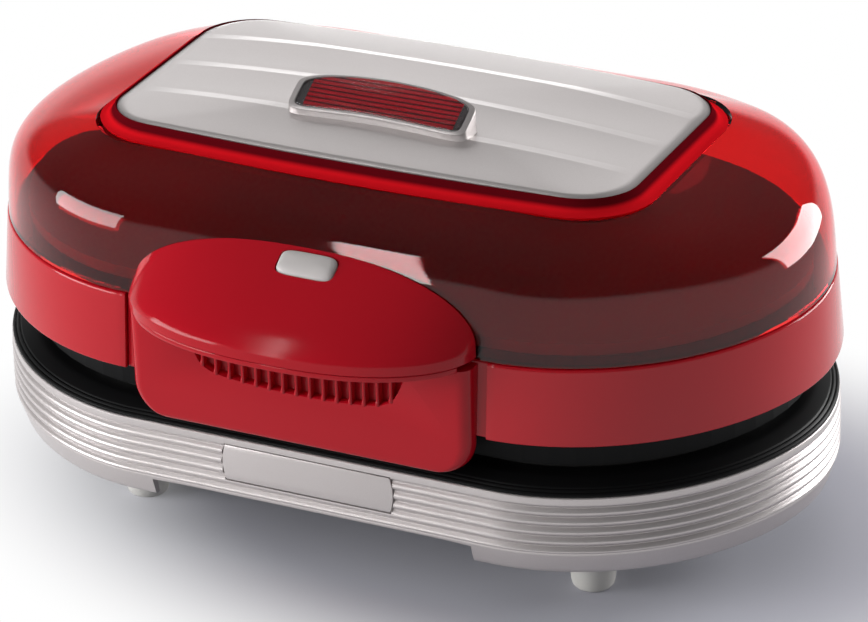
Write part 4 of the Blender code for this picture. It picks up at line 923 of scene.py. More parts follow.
@dataclass
class BaseBody:
    """Ribbed silver shell, its bare badge plate, the black rim and the feet."""

    plan: BodyPlan
    wall: float = 2.4
    top: float = 52.2
    top_radius: float = 0.7
    skirt: float = 23.1
    skirt_inset: float = 2.8
    skirt_radii: Pair = (1.8, 0.6)
    ledge: float = 32.0
    ledge_steps: tuple[Point, ...] = ((0.35, -0.3, 0.2), (0.2, -0.9, 0.5))
    ledge_wall: float = 3.0
    grooves: tuple[float, ...] = (48.4, 44.8, 41.2, 37.6, 34.0)
    groove_pitch: float = 3.6
    section_steps: int = 3
    groove_half: float = 1.0
    groove_depth: float = 1.15
    groove_radius: float = 0.4
    lip: float = 0.05
    lip_radius: float = 0.55
    bulge: float = 0.36
    bulge_radius: float = 1.3
    arch_half: float = 59.4
    arch_top: float = 30.0
    arch_roll: float = 0.9
    arch_fold: float = 0.9
    arch_close: float = 0.01
    arch_strip: float = 1.5
    badge_half: float = 30.5
    badge_span: Pair = (36.5, 49.5)
    badge_bulge: float = 1.2
    badge_steps: int = 12
    badge_depth: float = 1.0
    badge_proud: float = 0.15
    pocket_depth: float = 1.3
    pocket_gap: float = 0.35
    gland_x: float = 22.0
    gland_z: float = 41.0
    gland_radius: float = 5.3
    gland_depth: float = 12.0
    gland_points: int = 32
    rim_start: tuple[Point, ...] = ((0.3, 52.5, 0.2), (0.3, 53.2, 0.4))
    rim_beads: Pair = (1.5, 2.9)
    rim_bead: tuple[Point, ...] = ((-0.4, 0.05, 0.3), (0.0, -0.28, 0.2), (0.4, 0.3, 0.3))
    rim_slope: Pair = (3.5, 7.7)
    rim_crest: tuple[Point, ...] = (
        (8.0, 56.7, 1.2), (14.0, 56.7, 0.5), (14.0, 54.3, 0.3), (4.7, 52.5, 0.0),
        (4.7, 47.5, 0.2), (2.7, 47.5, 0.2), (2.7, 52.5, 0.0),
    )
    latch_slot: Box = ((-10.3, -84.2, 44), (10.3, -82.0, 61))
    foot_places: Pair = (85.0, 45.0)
    foot_points: int = 40
    foot_profile: tuple[Pair, ...] = (
        (9.3, 31.0), (9.2, 24.0), (8.7, 16.0), (8.0, 8.0), (7.5, 2.8), (7.1, 1.2), (6.4, 0.35),
        (5.6, 0.0),
    )

    def shell_section(self) -> list[Pair]:
        """Section of the shell: soft ribs between narrow grooves, ledge and skirt.

        Returns:
            Its points.
        """
        corners: list[Point] = [(self.wall, self.top, 0.0), (0.0, self.top, self.top_radius)]
        for middle in self.grooves:
            corners += [
                (-self.lip, middle + self.groove_half, self.lip_radius),
                (self.groove_depth, middle, self.groove_radius),
                (-self.lip, middle - self.groove_half, self.lip_radius),
                (-self.bulge, middle - self.groove_pitch / 2, self.bulge_radius),
            ]
        corners += [(inset, self.ledge + rise, radius) for inset, rise, radius in self.ledge_steps]
        corners += [
            (self.skirt_inset, self.skirt, self.skirt_radii[0]),
            (self.skirt_inset + self.wall, self.skirt, self.skirt_radii[1]),
            (self.ledge_wall, self.ledge, 0.0),
            (self.wall, self.grooves[0], 0.0),
        ]
        return rounded_section(corners, self.section_steps)

    def badge_shape(self, depth: float, proud: float, margin: float) -> Solid:
        """The badge plate's outline with bulging ends, as a prism through the wall's face.

        Args:
            depth: how far behind the face it reaches.
            proud: how far in front of it.
            margin: growth of the outline.

        Returns:
            The solid.
        """
        low, high = self.badge_span
        middle, half = (low + high) / 2, (high - low) / 2 + margin
        outline = []
        for side in (1, -1):
            for share in spaced(2, self.badge_steps):
                rise = side * half * (share - 1)
                swell = self.badge_bulge * (1 - (rise / half) ** 2)
                outline.append((side * (self.badge_half + margin + swell), middle + rise))
        faces = (-self.plan.half_depth + depth, -self.plan.half_depth - proud)
        return lofted([[(x, y, z) for x, z in outline] for y in faces])

    def shell(self) -> None:
        """Builds the silver shell with its arches, badge pocket and cord hole."""
        shape = self.plan.ring(self.shell_section())
        arch = block(
            (-self.arch_half, -FAR, self.skirt - OVERRUN), (self.arch_half, FAR, self.arch_top)
        )
        shape = carved(shape, arch, Carve.CUT)
        self.roll_arch(shape)
        pocket = self.badge_shape(self.pocket_depth, OVERRUN, self.pocket_gap)
        shape = carved(shape, pocket, Carve.CUT)
        hole = bmesh.new()
        place = Matrix.Translation((self.gland_x, self.plan.half_depth, self.gland_z))
        bmesh.ops.create_cone(
            hole, cap_ends=True, segments=self.gland_points, depth=self.gland_depth,
            radius1=self.gland_radius, radius2=self.gland_radius,
            matrix=place @ Matrix.Rotation(math.pi / 2, 4, "X"),
        )
        shape = carved(shape, hole, Carve.CUT)
        Piece(
            "silver_base_shell", shape, SILVER_PAINT, ("base_shell",), Carrier.BASE, sharp=32
        ).build()

    def roll_arch(self, shape: Solid) -> None:
        """Rounds the lower edge of the wall over the two arches.

        Args:
            shape: the shell, changed in place.
        """
        bmesh.ops.remove_doubles(shape, verts=shape.verts, dist=WELD)
        outside = self.plan.half_depth - self.arch_strip
        edges = [
            edge
            for edge in shape.edges
            if all(abs(vert.co.z - self.arch_top) < self.arch_close for vert in edge.verts)
            and all(abs(vert.co.y) > outside for vert in edge.verts)
            and edge.calc_face_angle(0.0) > self.arch_fold
        ]
        round_edges(shape, edges, self.arch_roll, segments=4)

    def badge(self) -> None:
        """Builds the bare plate in the pocket."""
        shape = self.badge_shape(self.badge_depth, self.badge_proud, 0.0)
        Piece(
            "bare_front_plate", shape, SILVER_PAINT, ("front_badge_plate",), Carrier.BASE, bevel=0.3
        ).build()

    def rim(self) -> None:
        """Builds the black rim: a ribbed slope up to the flat crest by the plate."""
        corners = list(self.rim_start)
        inset, foot, _ = corners[-1]
        rise, run = self.rim_slope
        for middle in self.rim_beads:
            height = foot + rise * (middle - inset) / run
            corners += [(middle + aside, height + up, turn) for aside, up, turn in self.rim_bead]
        corners += self.rim_crest
        shape = self.plan.ring(rounded_section(corners, self.section_steps))
        shape = carved(shape, block(*self.latch_slot), Carve.CUT)
        Piece("black_rim", shape, BLACK_ABS, ("base_rim",), Carrier.BASE, sharp=30).build()

    def feet(self) -> None:
        """Builds the four turned feet, tapered, with a rounded tread edge."""
        x, y = self.foot_places
        for end, along in ((-1, "front"), (1, "rear")):
            for side, across in ((-1, "left"), (1, "right")):
                loops = [
                    [
                        (side * x + radius * math.cos(turn), end * y + radius * math.sin(turn), z)
                        for turn in spaced(math.tau, self.foot_points)[:-1]
                    ]
                    for radius, z in self.foot_profile
                ]
                name = f"foot_{along}_{across}"
                Piece(f"turned_{name}", lofted(loops), FOOT_RUBBER, (name,), Carrier.BASE).build()

    def build(self) -> None:
        """Builds every piece of the base body."""
        self.shell()
        self.badge()
        self.rim()
        self.feet()


@dataclass
class Dome:
    """Clear red dome, the silver plate on its pedestal and the raised badge."""

    plan: BodyPlan
    seam: float = 98.7
    inset: float = 1.8
    wall: float = 2.3
    shoulder: float = 138.2
    pedestal: Point = (101.6, 55.0, 24.0)
    side_curve: tuple[float, ...] = (0.05, 0.85, -0.02, 0.74)
    end_curve: tuple[float, ...] = (0.03, 0.64, 0.10, 0.78)
    end_power: float = 6.0
    rows: int = 26
    notch: Box = ((-8.8, -120, 94), (16.2, -75, 119))
    ring_section: tuple[Pair, ...] = (
        (6.3, 0.1), (4.7, 0.4), (3.6, 0.9), (2.7, 1.6), (1.9, 2.4), (1.3, 3.3), (0.9, 4.2),
        (0.6, 4.6), (0.3, 4.4), (0.3, 2.7), (-2.0, 2.1), (-2.0, -1.0), (5.6, -1.0),
    )
    plate: Point = (95.2, 49.9, 18.3)
    plate_under: float = 140.6
    bow: float = 0.08
    edge: float = 143.8
    edge_roll: float = 0.7
    edge_share: float = 0.975
    end_drop: float = 0.9
    crown: float = 3.2
    grid_across: int = 100
    grid_back: int = 160
    ridge_sides: tuple[int, ...] = (-1, 0, 1)
    ridge_pitch: float = 26.0
    ridge_half: float = 93.0
    ridge_shorter: float = 2.5
    ridge_height: float = 0.95
    ridge_back: float = 4.8
    ridge_front: float = 17.0
    ridge_offset: float = -0.8
    ridge_fade: float = 0.05
    ridge_gap: Pair = (-0.8, 0.5)
    ridge_rows: tuple[float, ...] = (-0.5, -0.25, -0.1, 0.1, 0.3, 4.5, 4.7, 4.9, 5.1)
    pod_y: float = -23.2
    pod_z: float = 152.2
    pod_tilt: float = math.radians(28.6)
    pod_half: float = 33.0
    pod_low: float = 8.0
    pod_high: float = 7.6
    pod_arch: float = 3.3
    pod_sag: float = 2.3
    pod_power: int = 6
    pod_steps: int = 48
    pod_margins: Point = (1.1, 0.4, 0.6)
    pod_edges: tuple[Pair, ...] = ((0.0, -0.9), (0.15, -0.25), (0.7, 0.0))
    pod_sunk: float = 148.2
    pod_foot: Point = (1.02, 1.05, 143.0)
    pocket: Pair = (2.0, -2.4)
    inlay_margin: float = 2.3
    inlay_low: float = -2.1
    foil_half: float = 27.6
    foil_top: float = -1.1
    chrome_top: float = -1.0
    lens_span: Pair = (-0.8, 0.45)

    def curve(self, share: float, first: float, second: float) -> float:
        """Cubic from 0 to 1 with two handles."""
        rest = 1 - share
        return 3 * rest ** 2 * share * first + 3 * rest * share ** 2 * second + share ** 3

    def point(self, x: float, y: float, share: float, wall: float = 0.0) -> Point:
        """A point of the dome.

        Args:
            x: of the outline point it stands over.
            y: of the outline point it stands over.
            share: how far up towards the pedestal.
            wall: distance inside the outer face.

        Returns:
            The point.
        """
        along = min(abs(x) / self.plan.half_length, 1.0)
        pairs = zip(self.side_curve, self.end_curve)
        handles = [mix(*pair, along ** self.end_power) for pair in pairs]
        inward = self.curve(share, handles[0], handles[2])
        upward = self.curve(share, handles[1], handles[3])
        angle = math.atan2(y, x)
        inner = rounded_reach(angle, *(size - wall for size in self.pedestal))
        reach = math.hypot(x, y) * (1 - inward) + inner * inward
        height = self.seam + (self.shoulder - wall - self.seam) * upward
        return (reach * math.cos(angle), reach * math.sin(angle), height)

    def loop(self, share: float, wall: float = 0.0) -> Loop:
        """One loop of the dome's outer or inner face."""
        outline = self.plan.outline(self.inset + wall)
        return [self.point(x, y, share, wall) for x, y in outline]

    def shell(self) -> None:
        """Builds the clear dome with its pedestal lip and the notch behind the handle."""
        steps = spaced(1, self.rows)
        loops = [self.loop(1 - share, self.wall) for share in steps]
        loops += [self.loop(share) for share in steps]
        shape = carved(lofted(loops, ring=True), block(*self.notch), Carve.CUT)
        Piece("clear_red_dome", shape, RED_CLEAR, ("dome",), sharp=45).build()

    def pedestal_ring(self) -> None:
        """Builds the red step that the silver plate sits in, flared out onto the dome."""
        loops = [self.plate_loop(growth, self.shoulder + z) for growth, z in self.ring_section]
        # Its finish paints a glow at the step's foot and shade under the plate's edge.
        Piece("red_pedestal_ring", lofted(loops, ring=True), STEP_RED, sharp=50).build()

    def plate_bow(self, x: float) -> float:
        """Share of the plate's depth left at x, as its long sides bow out in the middle."""
        return 1 - self.bow * (x / self.plate[0]) ** 2

    def plate_loop(self, growth: float, z: float) -> Loop:
        """The silver plate's outline, on the same rays as the body's.

        Args:
            growth: margin by which it grows.
            z: its height.

        Returns:
            The loop.
        """
        sizes = [size + growth for size in self.plate]
        loop = []
        for x, y in self.plan.outline(0):
            angle = math.atan2(y, x)
            reach = rounded_reach(angle, *sizes)
            across = reach * math.cos(angle)
            loop.append((across, reach * math.sin(angle) * self.plate_bow(across), z))
        return loop

    def plate_share(self, x: float, y: float) -> float:
        """Place of a plan point between the middle of the plate, 0, and its edge, 1."""
        level = y / self.plate_bow(x)
        return min(math.hypot(x, level) / rounded_reach(math.atan2(level, x), *self.plate), 1.0)

    def ridge_lift(self, x: float, y: float) -> float:
        """Relief of the three ridges: a narrow slope behind and a slow hollow in front.

        Args:
            x: plan place across.
            y: plan place back.

        Returns:
            Height above the plate's crown.
        """
        lift = 0.0
        for at in self.ridge_sides:
            crest = self.ridge_offset + at * self.ridge_pitch
            reach = self.ridge_half - self.ridge_shorter * (1 - at)
            taper = self.ridge_height * max(1 - (x / reach) ** 2, 0.0) ** 0.5
            behind = y / self.plate_bow(x) - crest
            if 0 <= behind < self.ridge_back:
                lift += taper * (1 - behind / self.ridge_back)
            elif -self.ridge_front < behind < 0:
                lift += taper * (1 + behind / self.ridge_front) ** 2
        return lift * min((1 - self.plate_share(x, y)) / self.ridge_fade, 1.0)

    def plate_height(self, x: float, y: float) -> float:
        """Height of the silver plate's top at a plan point, without its ridges.

        Args:
            x: plan place across.
            y: plan place back.

        Returns:
            The height.
        """
        share = self.plate_share(x, y)
        drop = self.end_drop * (x / self.plate[0]) ** 2
        past = max((share - self.edge_share) / (1 - self.edge_share), 0.0)
        return self.edge - drop + self.crown * (1 - share ** 2) - self.edge_roll * past ** 2

    def top(self) -> None:
        """Builds the silver plate as a fine grid with its ridges, sides and the badge's seat."""
        shape = bmesh.new()
        rows = []
        for v in self.plate_rows():
            row = []
            for u in spaced(2, self.grid_across):
                x, y = self.square_to_plate(u - 1, v)
                height = self.plate_height(x, y) + self.ridge_lift(x, y)
                row.append(shape.verts.new((x, y, height)))
            rows.append(row)
        for low, high in zip(rows, rows[1:]):
            for i in range(self.grid_across):
                shape.faces.new((low[i], low[i + 1], high[i + 1], high[i]))
        rim = rows[0][:-1] + [row[-1] for row in rows[:-1]]
        rim += rows[-1][:0:-1] + [row[0] for row in rows[:0:-1]]
        lower = [shape.verts.new((vert.co.x, vert.co.y, self.plate_under)) for vert in rim]
        for at, vert in enumerate(rim):
            after = (at + 1) % len(rim)
            shape.faces.new((vert, lower[at], lower[after], rim[after]))
        shape.faces.new(lower)
        shape = carved(shape, self.pod(), Carve.JOIN)
        shape = carved(shape, self.pod_prism(*self.pocket, OVERRUN), Carve.CUT)
        Piece("silver_top_plate", shape, SILVER_PAINT, ("top_plate",), sharp=40).build()

    def plate_rows(self) -> list[float]:
        """Rows of the plate's grid, close together at each ridge's crest.

        Returns:
            Their places from -1 to 1.
        """
        half = self.plate[1]
        places = [(share - 1) * half for share in spaced(2, self.grid_back)]
        before, behind = self.ridge_gap
        for at in self.ridge_sides:
            top = self.ridge_offset + at * self.ridge_pitch
            places = [y for y in places if not before < y - top < behind]
            places += [top + back for back in self.ridge_rows]
        return [y / half for y in sorted(places)]

    def square_to_plate(self, u: float, v: float) -> Pair:
        """A point of the plate for a point of the square from -1 to 1.

        Args:
            u: across.
            v: back.

        Returns:
            Its plan point: concentric rounded rectangles keep the corners round.
        """
        half_x, half_y, corner = self.plate
        level = max(abs(u), abs(v))
        if level < TINY:
            return (0.0, 0.0)
        edge_x, edge_y = u / level * half_x, v / level * half_y
        reach = rounded_reach(math.atan2(edge_y, edge_x), half_x, half_y, corner)
        pull = reach / math.hypot(edge_x, edge_y)
        scale = level * (1 + (pull - 1) * level ** 3)
        x = edge_x * scale
        return (x, edge_y * scale * self.plate_bow(x))

    def pod_outline(self, margin: float) -> list[Pair]:
        """The badge's outline in its tilted plane, arched above and sagging below.

        Args:
            margin: how far it is drawn in.

        Returns:
            Its points.
        """
        side, above, below = (share * margin for share in self.pod_margins)
        outline = []
        for half in (1, -1):
            for turn in spaced(math.pi, self.pod_steps)[:-1]:
                across = half * math.cos(turn)
                up = (1 - across ** self.pod_power) ** (1 / self.pod_power)
                middle = 1 - across ** 2
                height = self.pod_high + self.pod_arch * middle - above
                if half < 0:
                    height = self.pod_sag * middle + below - self.pod_low
                outline.append(((self.pod_half - side) * across, height * up))
        return outline

    def pod_loop(self, margin: float, lift: float) -> Loop:
        """The badge's outline at a lift above its tilted plane.

        Args:
            margin: how far it is drawn in.
            lift: distance along the plane's normal.

        Returns:
            The loop.
        """
        cos, sin = math.cos(self.pod_tilt), math.sin(self.pod_tilt)
        return [
            (u, self.pod_y + v * cos - lift * sin, self.pod_z + v * sin + lift * cos)
            for u, v in self.pod_outline(margin)
        ]

    def pod_prism(self, margin: float, low: float, high: float) -> Solid:
        """The badge outline between two lifts above its plane."""
        return lofted([self.pod_loop(margin, lift) for lift in (low, high)])

    def pod(self) -> Solid:
        """The raised seat of the badge.

        Returns:
            A solid with a flared foot, upright sides and a rounded edge.
        """
        side, edge, face = (self.pod_loop(margin, lift) for margin, lift in self.pod_edges)
        wide, deep, low = self.pod_foot
        sunk = [(x, y, min(z, self.pod_sunk)) for x, y, z in side]
        foot = [(x * wide, self.pod_y + (y - self.pod_y) * deep, low) for x, y, _ in side]
        return lofted([foot, sunk, side, edge, face])

    def inlay(self, left: float, right: float, top: float) -> Solid:
        """What of the badge's inlay lies between two places across, up to a lift."""
        whole = self.pod_prism(self.inlay_margin, self.inlay_low, top)
        return carved(whole, block((left, -FAR, 0), (right, FAR, 2 * FAR)), Carve.KEEP)

    def badge(self) -> None:
        """Builds the striped foil, its dark chrome ends and the clear lens."""
        wide = self.foil_half
        foil = self.inlay(-wide, wide, self.foil_top)
        Piece("striped_badge_foil", foil, BADGE_FOIL, ("badge_print",)).build()
        for side, word in ((-1, "left"), (1, "right")):
            near, far = sorted((side * wide, side * self.pod_half))
            end = self.inlay(near, far, self.chrome_top)
            Piece(f"dark_badge_end_{word}", end, DARK_CHROME, bevel=0.15).build()
        lens = self.pod_prism(self.inlay_margin, *self.lens_span)
        Piece(
            "badge_lens_plate", lens, LENS_ACRYLIC, ("badge_lens",), bevel=0.45, sharp=60
        ).build()

    def build(self) -> None:
        """Builds the dome's pieces."""
        self.shell()
        self.pedestal_ring()
        self.top()
        self.badge()


@dataclass
class LidBody:
    """The red band round the lid, with its front bracket."""

    plan: BodyPlan
    low: float = 71.4
    high: float = 98.1
    insets: Pair = (-0.9, 1.4)
    radii: tuple[float, ...] = (0.8, 1.1, 0.2, 0.4)
    section_steps: int = 4
    wall: float = 2.4
    bracket_half: float = 66.0
    bracket_gap: float = 0.4
    recess: float = 1.4

    def section(self, recess: float) -> list[Pair]:
        """Section of the band with softened edges.

        Args:
            recess: how far it is set back.

        Returns:
            Its points.
        """
        low, high = (inset + recess for inset in self.insets)
        corners = (
            (low, self.low), (high, self.high), (high + self.wall, self.high),
            (low + self.wall, self.low),
        )
        section = [(*at, radius) for at, radius in zip(corners, self.radii)]
        return rounded_section(section, self.section_steps)

    def carve_front(self, recess: float, half: float, how: Carve) -> Solid:
        """The band without, or only with, its front within a half width of the middle."""
        front = block((-half, -FAR, 0), (half, 0, FAR))
        return carved(self.plan.ring(self.section(recess)), front, how)

    def build(self) -> None:
        """Builds the red band and the bracket that fills its front gap."""
        half = self.bracket_half
        band = self.carve_front(0.0, half + self.bracket_gap, Carve.CUT)
        Piece("red_lid_band", band, RED_ABS, ("lid_band",), bevel=0.25).build()
        bracket = self.carve_front(self.recess, half, Carve.KEEP)
        Piece("red_handle_bracket", bracket, RED_ABS, ("handle_bracket",), bevel=0.25).build()


@dataclass
class Handle:
    """Visor handle: body with a comb of slots, underside panel, roof cap and button."""

    dome: Dome
    lid: LidBody
    half: float = 62.5
    low: float = 57.5
    high: float = 96.8
    corner: float = 12.0
    corner_steps: int = 14
    edge_round: float = 4.6
    edge_steps: int = 10
    edge_share: float = 0.9
    lower_roll: Pair = (1.4, 1.6)
    seat_gap: float = 0.2
    fronts: Pair = (91.5, 92.0)
    hollow: Box = ((-52, -89.4, 66), (52, -86.9, 94.4))
    root_half: float = 62.6
    lip_reach: float = 116.0
    lip_root: float = 85.3
    lip_low: float = 99.3
    lip_high: float = 102.4
    lip_edge: float = 0.4
    lip_inside: float = 0.7
    power_x: float = 2.4
    power_y: float = 1.8
    end_z: float = 104.0
    rise: float = 22.0
    rear_gap: float = 0.5
    halvings: int = 30
    edge_power: float = 2.6
    swell: float = 2.6
    guide_share: float = 0.3
    bunching: float = 1.5
    roof_steps: int = 12
    wall: float = 2.2
    stations: int = 72
    panel_front: float = -92.6
    panel_inset: float = 0.7
    panel_span: Pair = (97.1, 99.0)
    comb_half: float = 39.5
    comb_low: float = 77.0
    comb_smile: float = 3.4
    comb_ends: Pair = (11, 14)
    comb_top: float = 93.5
    comb_level: float = 85.0
    comb_steps: int = 40
    # Place of the sheet of painted shade behind the comb.
    comb_shade_sheet: Box = ((-46, -87.5, 74), (46, -86.9, 94.2))
    scoop: tuple[Pair, ...] = ((-3.0, 0.7), (0.1, 0.5), (0.6, 0.1), (3.2, 0.0))
    fins: int = 15
    fin_pitch: float = 4.95
    fin_thick: float = 1.15
    fin_back: float = 0.1
    fin_hang: float = 1.0
    fin_depth: float = 2.6
    fin_round: Pair = (0.55, 2.0)
    fin_foot: tuple[Pair, ...] = (
        (0.0, 2.6), (-0.35, 1.7), (-0.5, 0.9), (-0.3, 0.2), (0.4, -0.1), (2.6, 1.4),
    )
    fin_shares: tuple[float, ...] = (-1.0, -0.85, -0.45, 0.0, 0.45, 0.85, 1.0)
    fin_drop: Point = (0.45, 0.8, 1.6)
    button_x: float = 3.7
    button_half: float = 10.2
    button_span: Pair = (91.5, 83.6)
    button_power: float = 4.5
    button_points: int = 64
    button_foot: float = 115.0
    button_layers: tuple[Pair, ...] = ((0.0, -0.3), (-0.25, 0.35), (-0.9, 0.95), (-2.2, 1.35))
    button_crown: float = 1.6
    button_stem: Box = ((-5.5, -88.0, 104.9), (2.5, -83.8, 116.5))
    hole_gap: float = 0.45
    hole_span: Pair = (111.0, 140.0)
    spring_place: Pair = (9.2, 88.5)
    spring_span: Pair = (97.5, 114.2)
    spring_radius: float = 2.4
    spring_wire: float = 0.38
    spring_turns: int = 6
    turn_steps: int = 24
    wire_sides: int = 10

    def front(self, z: float) -> float:
        """Distance of the front face at a height."""
        return mix(*self.fronts, (z - self.low) / (self.high - self.low))

    def band_front(self, z: float) -> float:
        """Distance of the red band's face at a height."""
        share = max((z - self.lid.low) / (self.lid.high - self.lid.low), 0.0)
        return self.lid.plan.half_depth - mix(*self.lid.insets, share)

    def width(self, z: float) -> float:
        """Half width with the rounded lower corners."""
        below = max(self.low + self.corner - z, 0.0)
        return self.half - self.corner + math.sqrt(max(self.corner ** 2 - below ** 2, 0.0))

    def body_loop(self, z: float, shrink: float) -> Loop:
        """Plan outline of the body at a height.

        Args:
            z: the height.
            shrink: drawn in by this much, for the rounded lower edge.

        Returns:
            The loop.
        """
        back = -(self.band_front(z) - self.lid.recess + self.seat_gap)
        front = -self.front(z) + shrink
        half = self.width(z) - shrink
        radius = min(self.edge_round, (back - front) * self.edge_share)
        outline = [(half, back)]
        for turn in spaced(math.pi / 2, self.edge_steps):
            outline.append(
                (half - radius * (1 - math.cos(turn)), front + radius * (1 - math.sin(turn)))
            )
        mirrored = [(-x, y) for x, y in reversed(outline)]
        return [(x, y, z) for x, y in outline + mirrored]

    def comb_bottom(self, x: float) -> float:
        """The comb's lower edge: a shallow smile that curls up at its ends.

        Args:
            x: place across.

        Returns:
            Its height.
        """
        share = min(abs(x) / self.comb_half, 1.0)
        rise, power = self.comb_ends
        return self.comb_low + self.comb_smile * share ** 2 + rise * share ** power

    def body(self) -> None:
        """Builds the body with its recess, the dark sheet of painted shade behind the comb, and the
        fins.
        """
        loops = []
        roll, reach = self.lower_roll
        for turn in spaced(math.pi / 2, self.corner_steps):
            z = self.low + self.corner * (1 - math.cos(turn))
            loops.append(self.body_loop(z, roll * max(1 - (z - self.low) / reach, 0.0) ** 2))
        loops.append(self.body_loop(self.high, 0))
        shape = carved(lofted(loops), block(*self.hollow), Carve.CUT)
        shape = carved(shape, self.recess(), Carve.CUT)
        Piece("red_handle_body", shape, HANDLE_RED_ABS, ("handle_body",), bevel=0.22).build()
        # The sheet behind the comb is painted shade: dark matt red where the slots look into the
        # handle's shaded inside.
        Piece("comb_painted_shade_wall", block(*self.comb_shade_sheet), PAINTED_SHADE_RED, bevel=0.2).build()
        for at in range(self.fins):
            self.fin(at)

    def recess(self) -> Solid:
        """The scoop that the fins stand in.

        Returns:
            A solid that is wide at the face and narrower inside.
        """
        rows = []
        for depth, grow in self.scoop:
            bottom = []
            for share in spaced(2, self.comb_steps):
                x = (self.comb_half + grow) * (share - 1)
                y = -self.front(self.comb_level) + depth
                bottom.append((x, y, self.comb_bottom(x) - grow))
            rows.append(bottom + [(x, y, self.comb_top) for x, y, _ in reversed(bottom)])
        return lofted(rows)

    def fin(self, at: int) -> None:
        """Builds one thin fin with a rounded nose and foot.

        Args:
            at: its number from the left.
        """
        x = (at - (self.fins - 1) / 2) * self.fin_pitch
        low = self.comb_bottom(x) - self.fin_hang
        face = -self.front(self.comb_level) + self.fin_back
        outline = [(face + self.fin_depth, self.comb_top), (face, self.comb_top)]
        outline += [(face + out, low + up) for out, up in self.fin_foot]
        slimming, nose = self.fin_round
        loops = []
        for share in self.fin_shares:
            slim = slimming * (1 - math.sqrt(1 - share ** 2))
            loops.append([
                (x + self.fin_half(z - low) * share, y + (slim if y < face + nose else 0), z)
                for y, z in outline
            ])
        Piece(f"comb_fin_{at + 1}", lofted(loops), HANDLE_RED_ABS, sharp=60).build()

    def fin_half(self, rise: float) -> float:
        """Half the thickness of a fin at a height above its foot: the foot is a small drop."""
        growth, middle, reach = self.fin_drop
        return self.fin_thick / 2 * (1 + growth * max(1 - abs(rise - middle) / reach, 0.0))

    def lip(self, turn: float, inset: float) -> Pair:
        """Plan point of the visor's lip.

        Args:
            turn: 0 at the right root, pi at the left one.
            inset: how far it is drawn in.

        Returns:
            The plan point.
        """
        along = signed_power(math.cos(turn), 2 / self.power_x)
        out = max(math.sin(turn), 0.0) ** (2 / self.power_y)
        reach = self.lip_reach - inset - self.lip_root
        return (self.root_half - inset) * along, -(self.lip_root + reach * out)

    def rear(self, x: float, half: float, end_z: float) -> Point:
        """Where the roof meets the dome.

        Args:
            x: root position across.
            half: half width of the roof.
            end_z: height at the roots.

        Returns:
            The point, just clear of the dome.
        """
        depth = self.dome.plan.half_depth - self.dome.inset
        share_x = min(abs(x) / half, 1.0)
        target = end_z + self.rise * math.sqrt(1 - share_x ** self.edge_power)
        low, high = 0.0, 1.0
        for _ in range(self.halvings):
            share = (low + high) / 2
            if self.dome.point(x, -depth, share)[2] < target:
                low = share
            else:
                high = share
        px, py, pz = self.dome.point(x, -depth, low)
        return (px, py - self.rear_gap, pz)

    def roof(self, turn: float, steps: int) -> list[Point]:
        """Points of the roof from the lip's top to its rear edge.

        Args:
            turn: station round the lip.
            steps: divisions.

        Returns:
            The points, bunched at the lip's roll.
        """
        x, y = self.lip(turn, 0.0)
        start = Vector((x, y, self.lip_high))
        end = Vector(self.rear(self.root_half * math.cos(turn), self.root_half, self.end_z))
        swell = self.swell * math.sin(turn)
        rise = min(swell + self.lip_edge, (end.z - start.z) / 2)
        roll = start + Vector((0, 0, rise))
        guide = start.lerp(end, self.guide_share) + Vector((0, 0, swell))
        points = []
        for share in spaced(1, steps):
            t = share ** self.bunching
            rest = 1 - t
            near = start * rest ** 3 + roll * 3 * rest ** 2 * t
            points.append(tuple(near + guide * 3 * rest * t ** 2 + end * t ** 3))
        return points

    def cap(self) -> None:
        """Builds the roof cap as a thin shell with a rolled lip and the button's hole."""
        loops = []
        half = self.root_half - self.wall
        for turn in spaced(math.pi, self.stations):
            x, y = self.lip(turn, 0.0)
            foot = (*self.lip(turn, self.lip_edge), self.lip_low)
            outer = [foot, (x, y, self.lip_low + self.lip_edge)] + self.roof(turn, self.roof_steps)
            rear = self.rear(half * math.cos(turn), half, self.end_z - self.wall)
            inside = self.lip(turn, self.wall)
            edge = (*inside, self.lip_high - self.lip_inside)
            middle = tuple(mix(*pair, 0.5) for pair in zip(edge, rear))
            loops.append(outer + [rear, middle, edge, (*inside, self.lip_low)])
        hole = prism(self.button_outline(self.hole_gap), *self.hole_span)
        shape = carved(lofted(loops), hole, Carve.CUT)
        Piece("red_handle_cap", shape, HANDLE_RED_ABS, ("handle_cap",), sharp=42).build()

    def panel(self) -> None:
        """Builds the panel under the visor."""
        lip = [self.lip(turn, self.panel_inset) for turn in spaced(math.pi, self.stations)]
        outline = [(x, y) for x, y in lip if y < self.panel_front]
        ends = outline[0][0]
        outline = [(ends, self.panel_front)] + outline + [(-ends, self.panel_front)]
        shape = prism(outline, *self.panel_span)
        Piece("red_grip_panel", shape, HANDLE_RED_ABS, ("grip_panel",), bevel=0.4).build()

    def button_outline(self, margin: float) -> list[Pair]:
        """Rounded outline of the button.

        Args:
            margin: growth of the outline.

        Returns:
            Its plan points.
        """
        front, back = self.button_span
        half_y = (front - back) / 2 + margin
        outline = []
        for turn in spaced(math.tau, self.button_points)[:-1]:
            across = signed_power(math.cos(turn), 2 / self.button_power)
            up = signed_power(math.sin(turn), 2 / self.button_power)
            x = self.button_x + (self.button_half + margin) * across
            outline.append((x, half_y * up - (front + back) / 2))
        return outline

    def roof_height(self, y: float) -> float:
        """Height of the roof on the middle line.

        Args:
            y: plan place back.

        Returns:
            The height.
        """
        points = self.roof(math.pi / 2, 2 * self.roof_steps)
        for first, second in zip(points, points[1:]):
            if first[1] <= y <= second[1]:
                return mix(first[2], second[2], (y - first[1]) / (second[1] - first[1]))
        return points[-1][2]

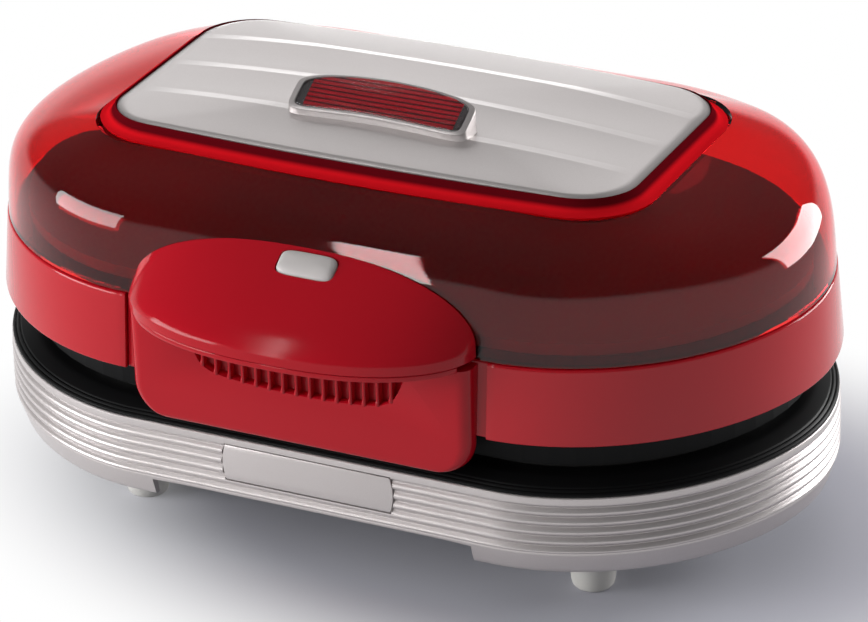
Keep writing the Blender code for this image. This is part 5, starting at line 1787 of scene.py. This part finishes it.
    def button(self) -> None:
        """Builds the button: pillowed top with a rounded shoulder, and its stem."""
        loops = [[(x, y, self.button_foot) for x, y in self.button_outline(0.0)]]
        for margin, lift in self.button_layers:
            outline = self.button_outline(margin)
            loops.append([(x, y, self.roof_height(y) + lift) for x, y in outline])
        middle = -(self.button_span[0] + self.button_span[1]) / 2
        peak = (self.button_x, middle, self.roof_height(middle) + self.button_crown)
        shape = carved(lofted(loops, peak=peak), block(*self.button_stem), Carve.JOIN)
        Piece(
            "grey_release_button", shape, GREY_ABS, ("release_button",), Carrier.BUTTON, sharp=50
        ).build()

    def spring(self) -> None:
        """Builds the coil under the button."""
        across, front = self.spring_place
        low, high = self.spring_span
        loops = []
        for share in spaced(1, self.turn_steps * self.spring_turns):
            turn = math.tau * self.spring_turns * share
            loop = []
            for way in spaced(math.tau, self.wire_sides)[:-1]:
                reach = self.spring_radius + self.spring_wire * math.cos(way)
                rise = mix(low, high, share) + self.spring_wire * math.sin(way)
                loop.append((across + reach * math.cos(turn), reach * math.sin(turn) - front, rise))
            loops.append(loop)
        Piece(
            "coiled_button_spring", lofted(loops), ZINC_STEEL, ("button_spring",),
            stretch=(Carrier.BUTTON, (across, -front, low), (across, -front, high)),
        ).build()

    def build(self) -> None:
        """Builds the handle's pieces."""
        self.body()
        self.panel()
        self.cap()
        self.button()
        self.spring()


def dress_frame(nodes: dict[str, bpy.types.Object]) -> None:
    """Gives every frame node that stays visible its finish.

    Args:
        nodes: the frame's nodes by name.
    """
    for name, node in nodes.items():
        for finish, starts in NODE_FINISHES.items():
            if name.startswith(starts):
                for slot in node.material_slots:
                    slot.material = material_of(finish)


def main() -> None:
    """Builds the sub-assemblies in order."""
    logging.basicConfig(level=logging.INFO, format="%(name)s %(message)s")
    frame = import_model()
    Studio().build()
    plan = BodyPlan()
    dome = Dome(plan)
    lid = LidBody(plan)
    dress_frame(frame["nodes"])
    for assembly in (BaseBody(plan), lid, dome, Handle(dome, lid)):
        log.info("building %s", type(assembly).__name__)
        assembly.build()


if __name__ == "__main__":
    main()
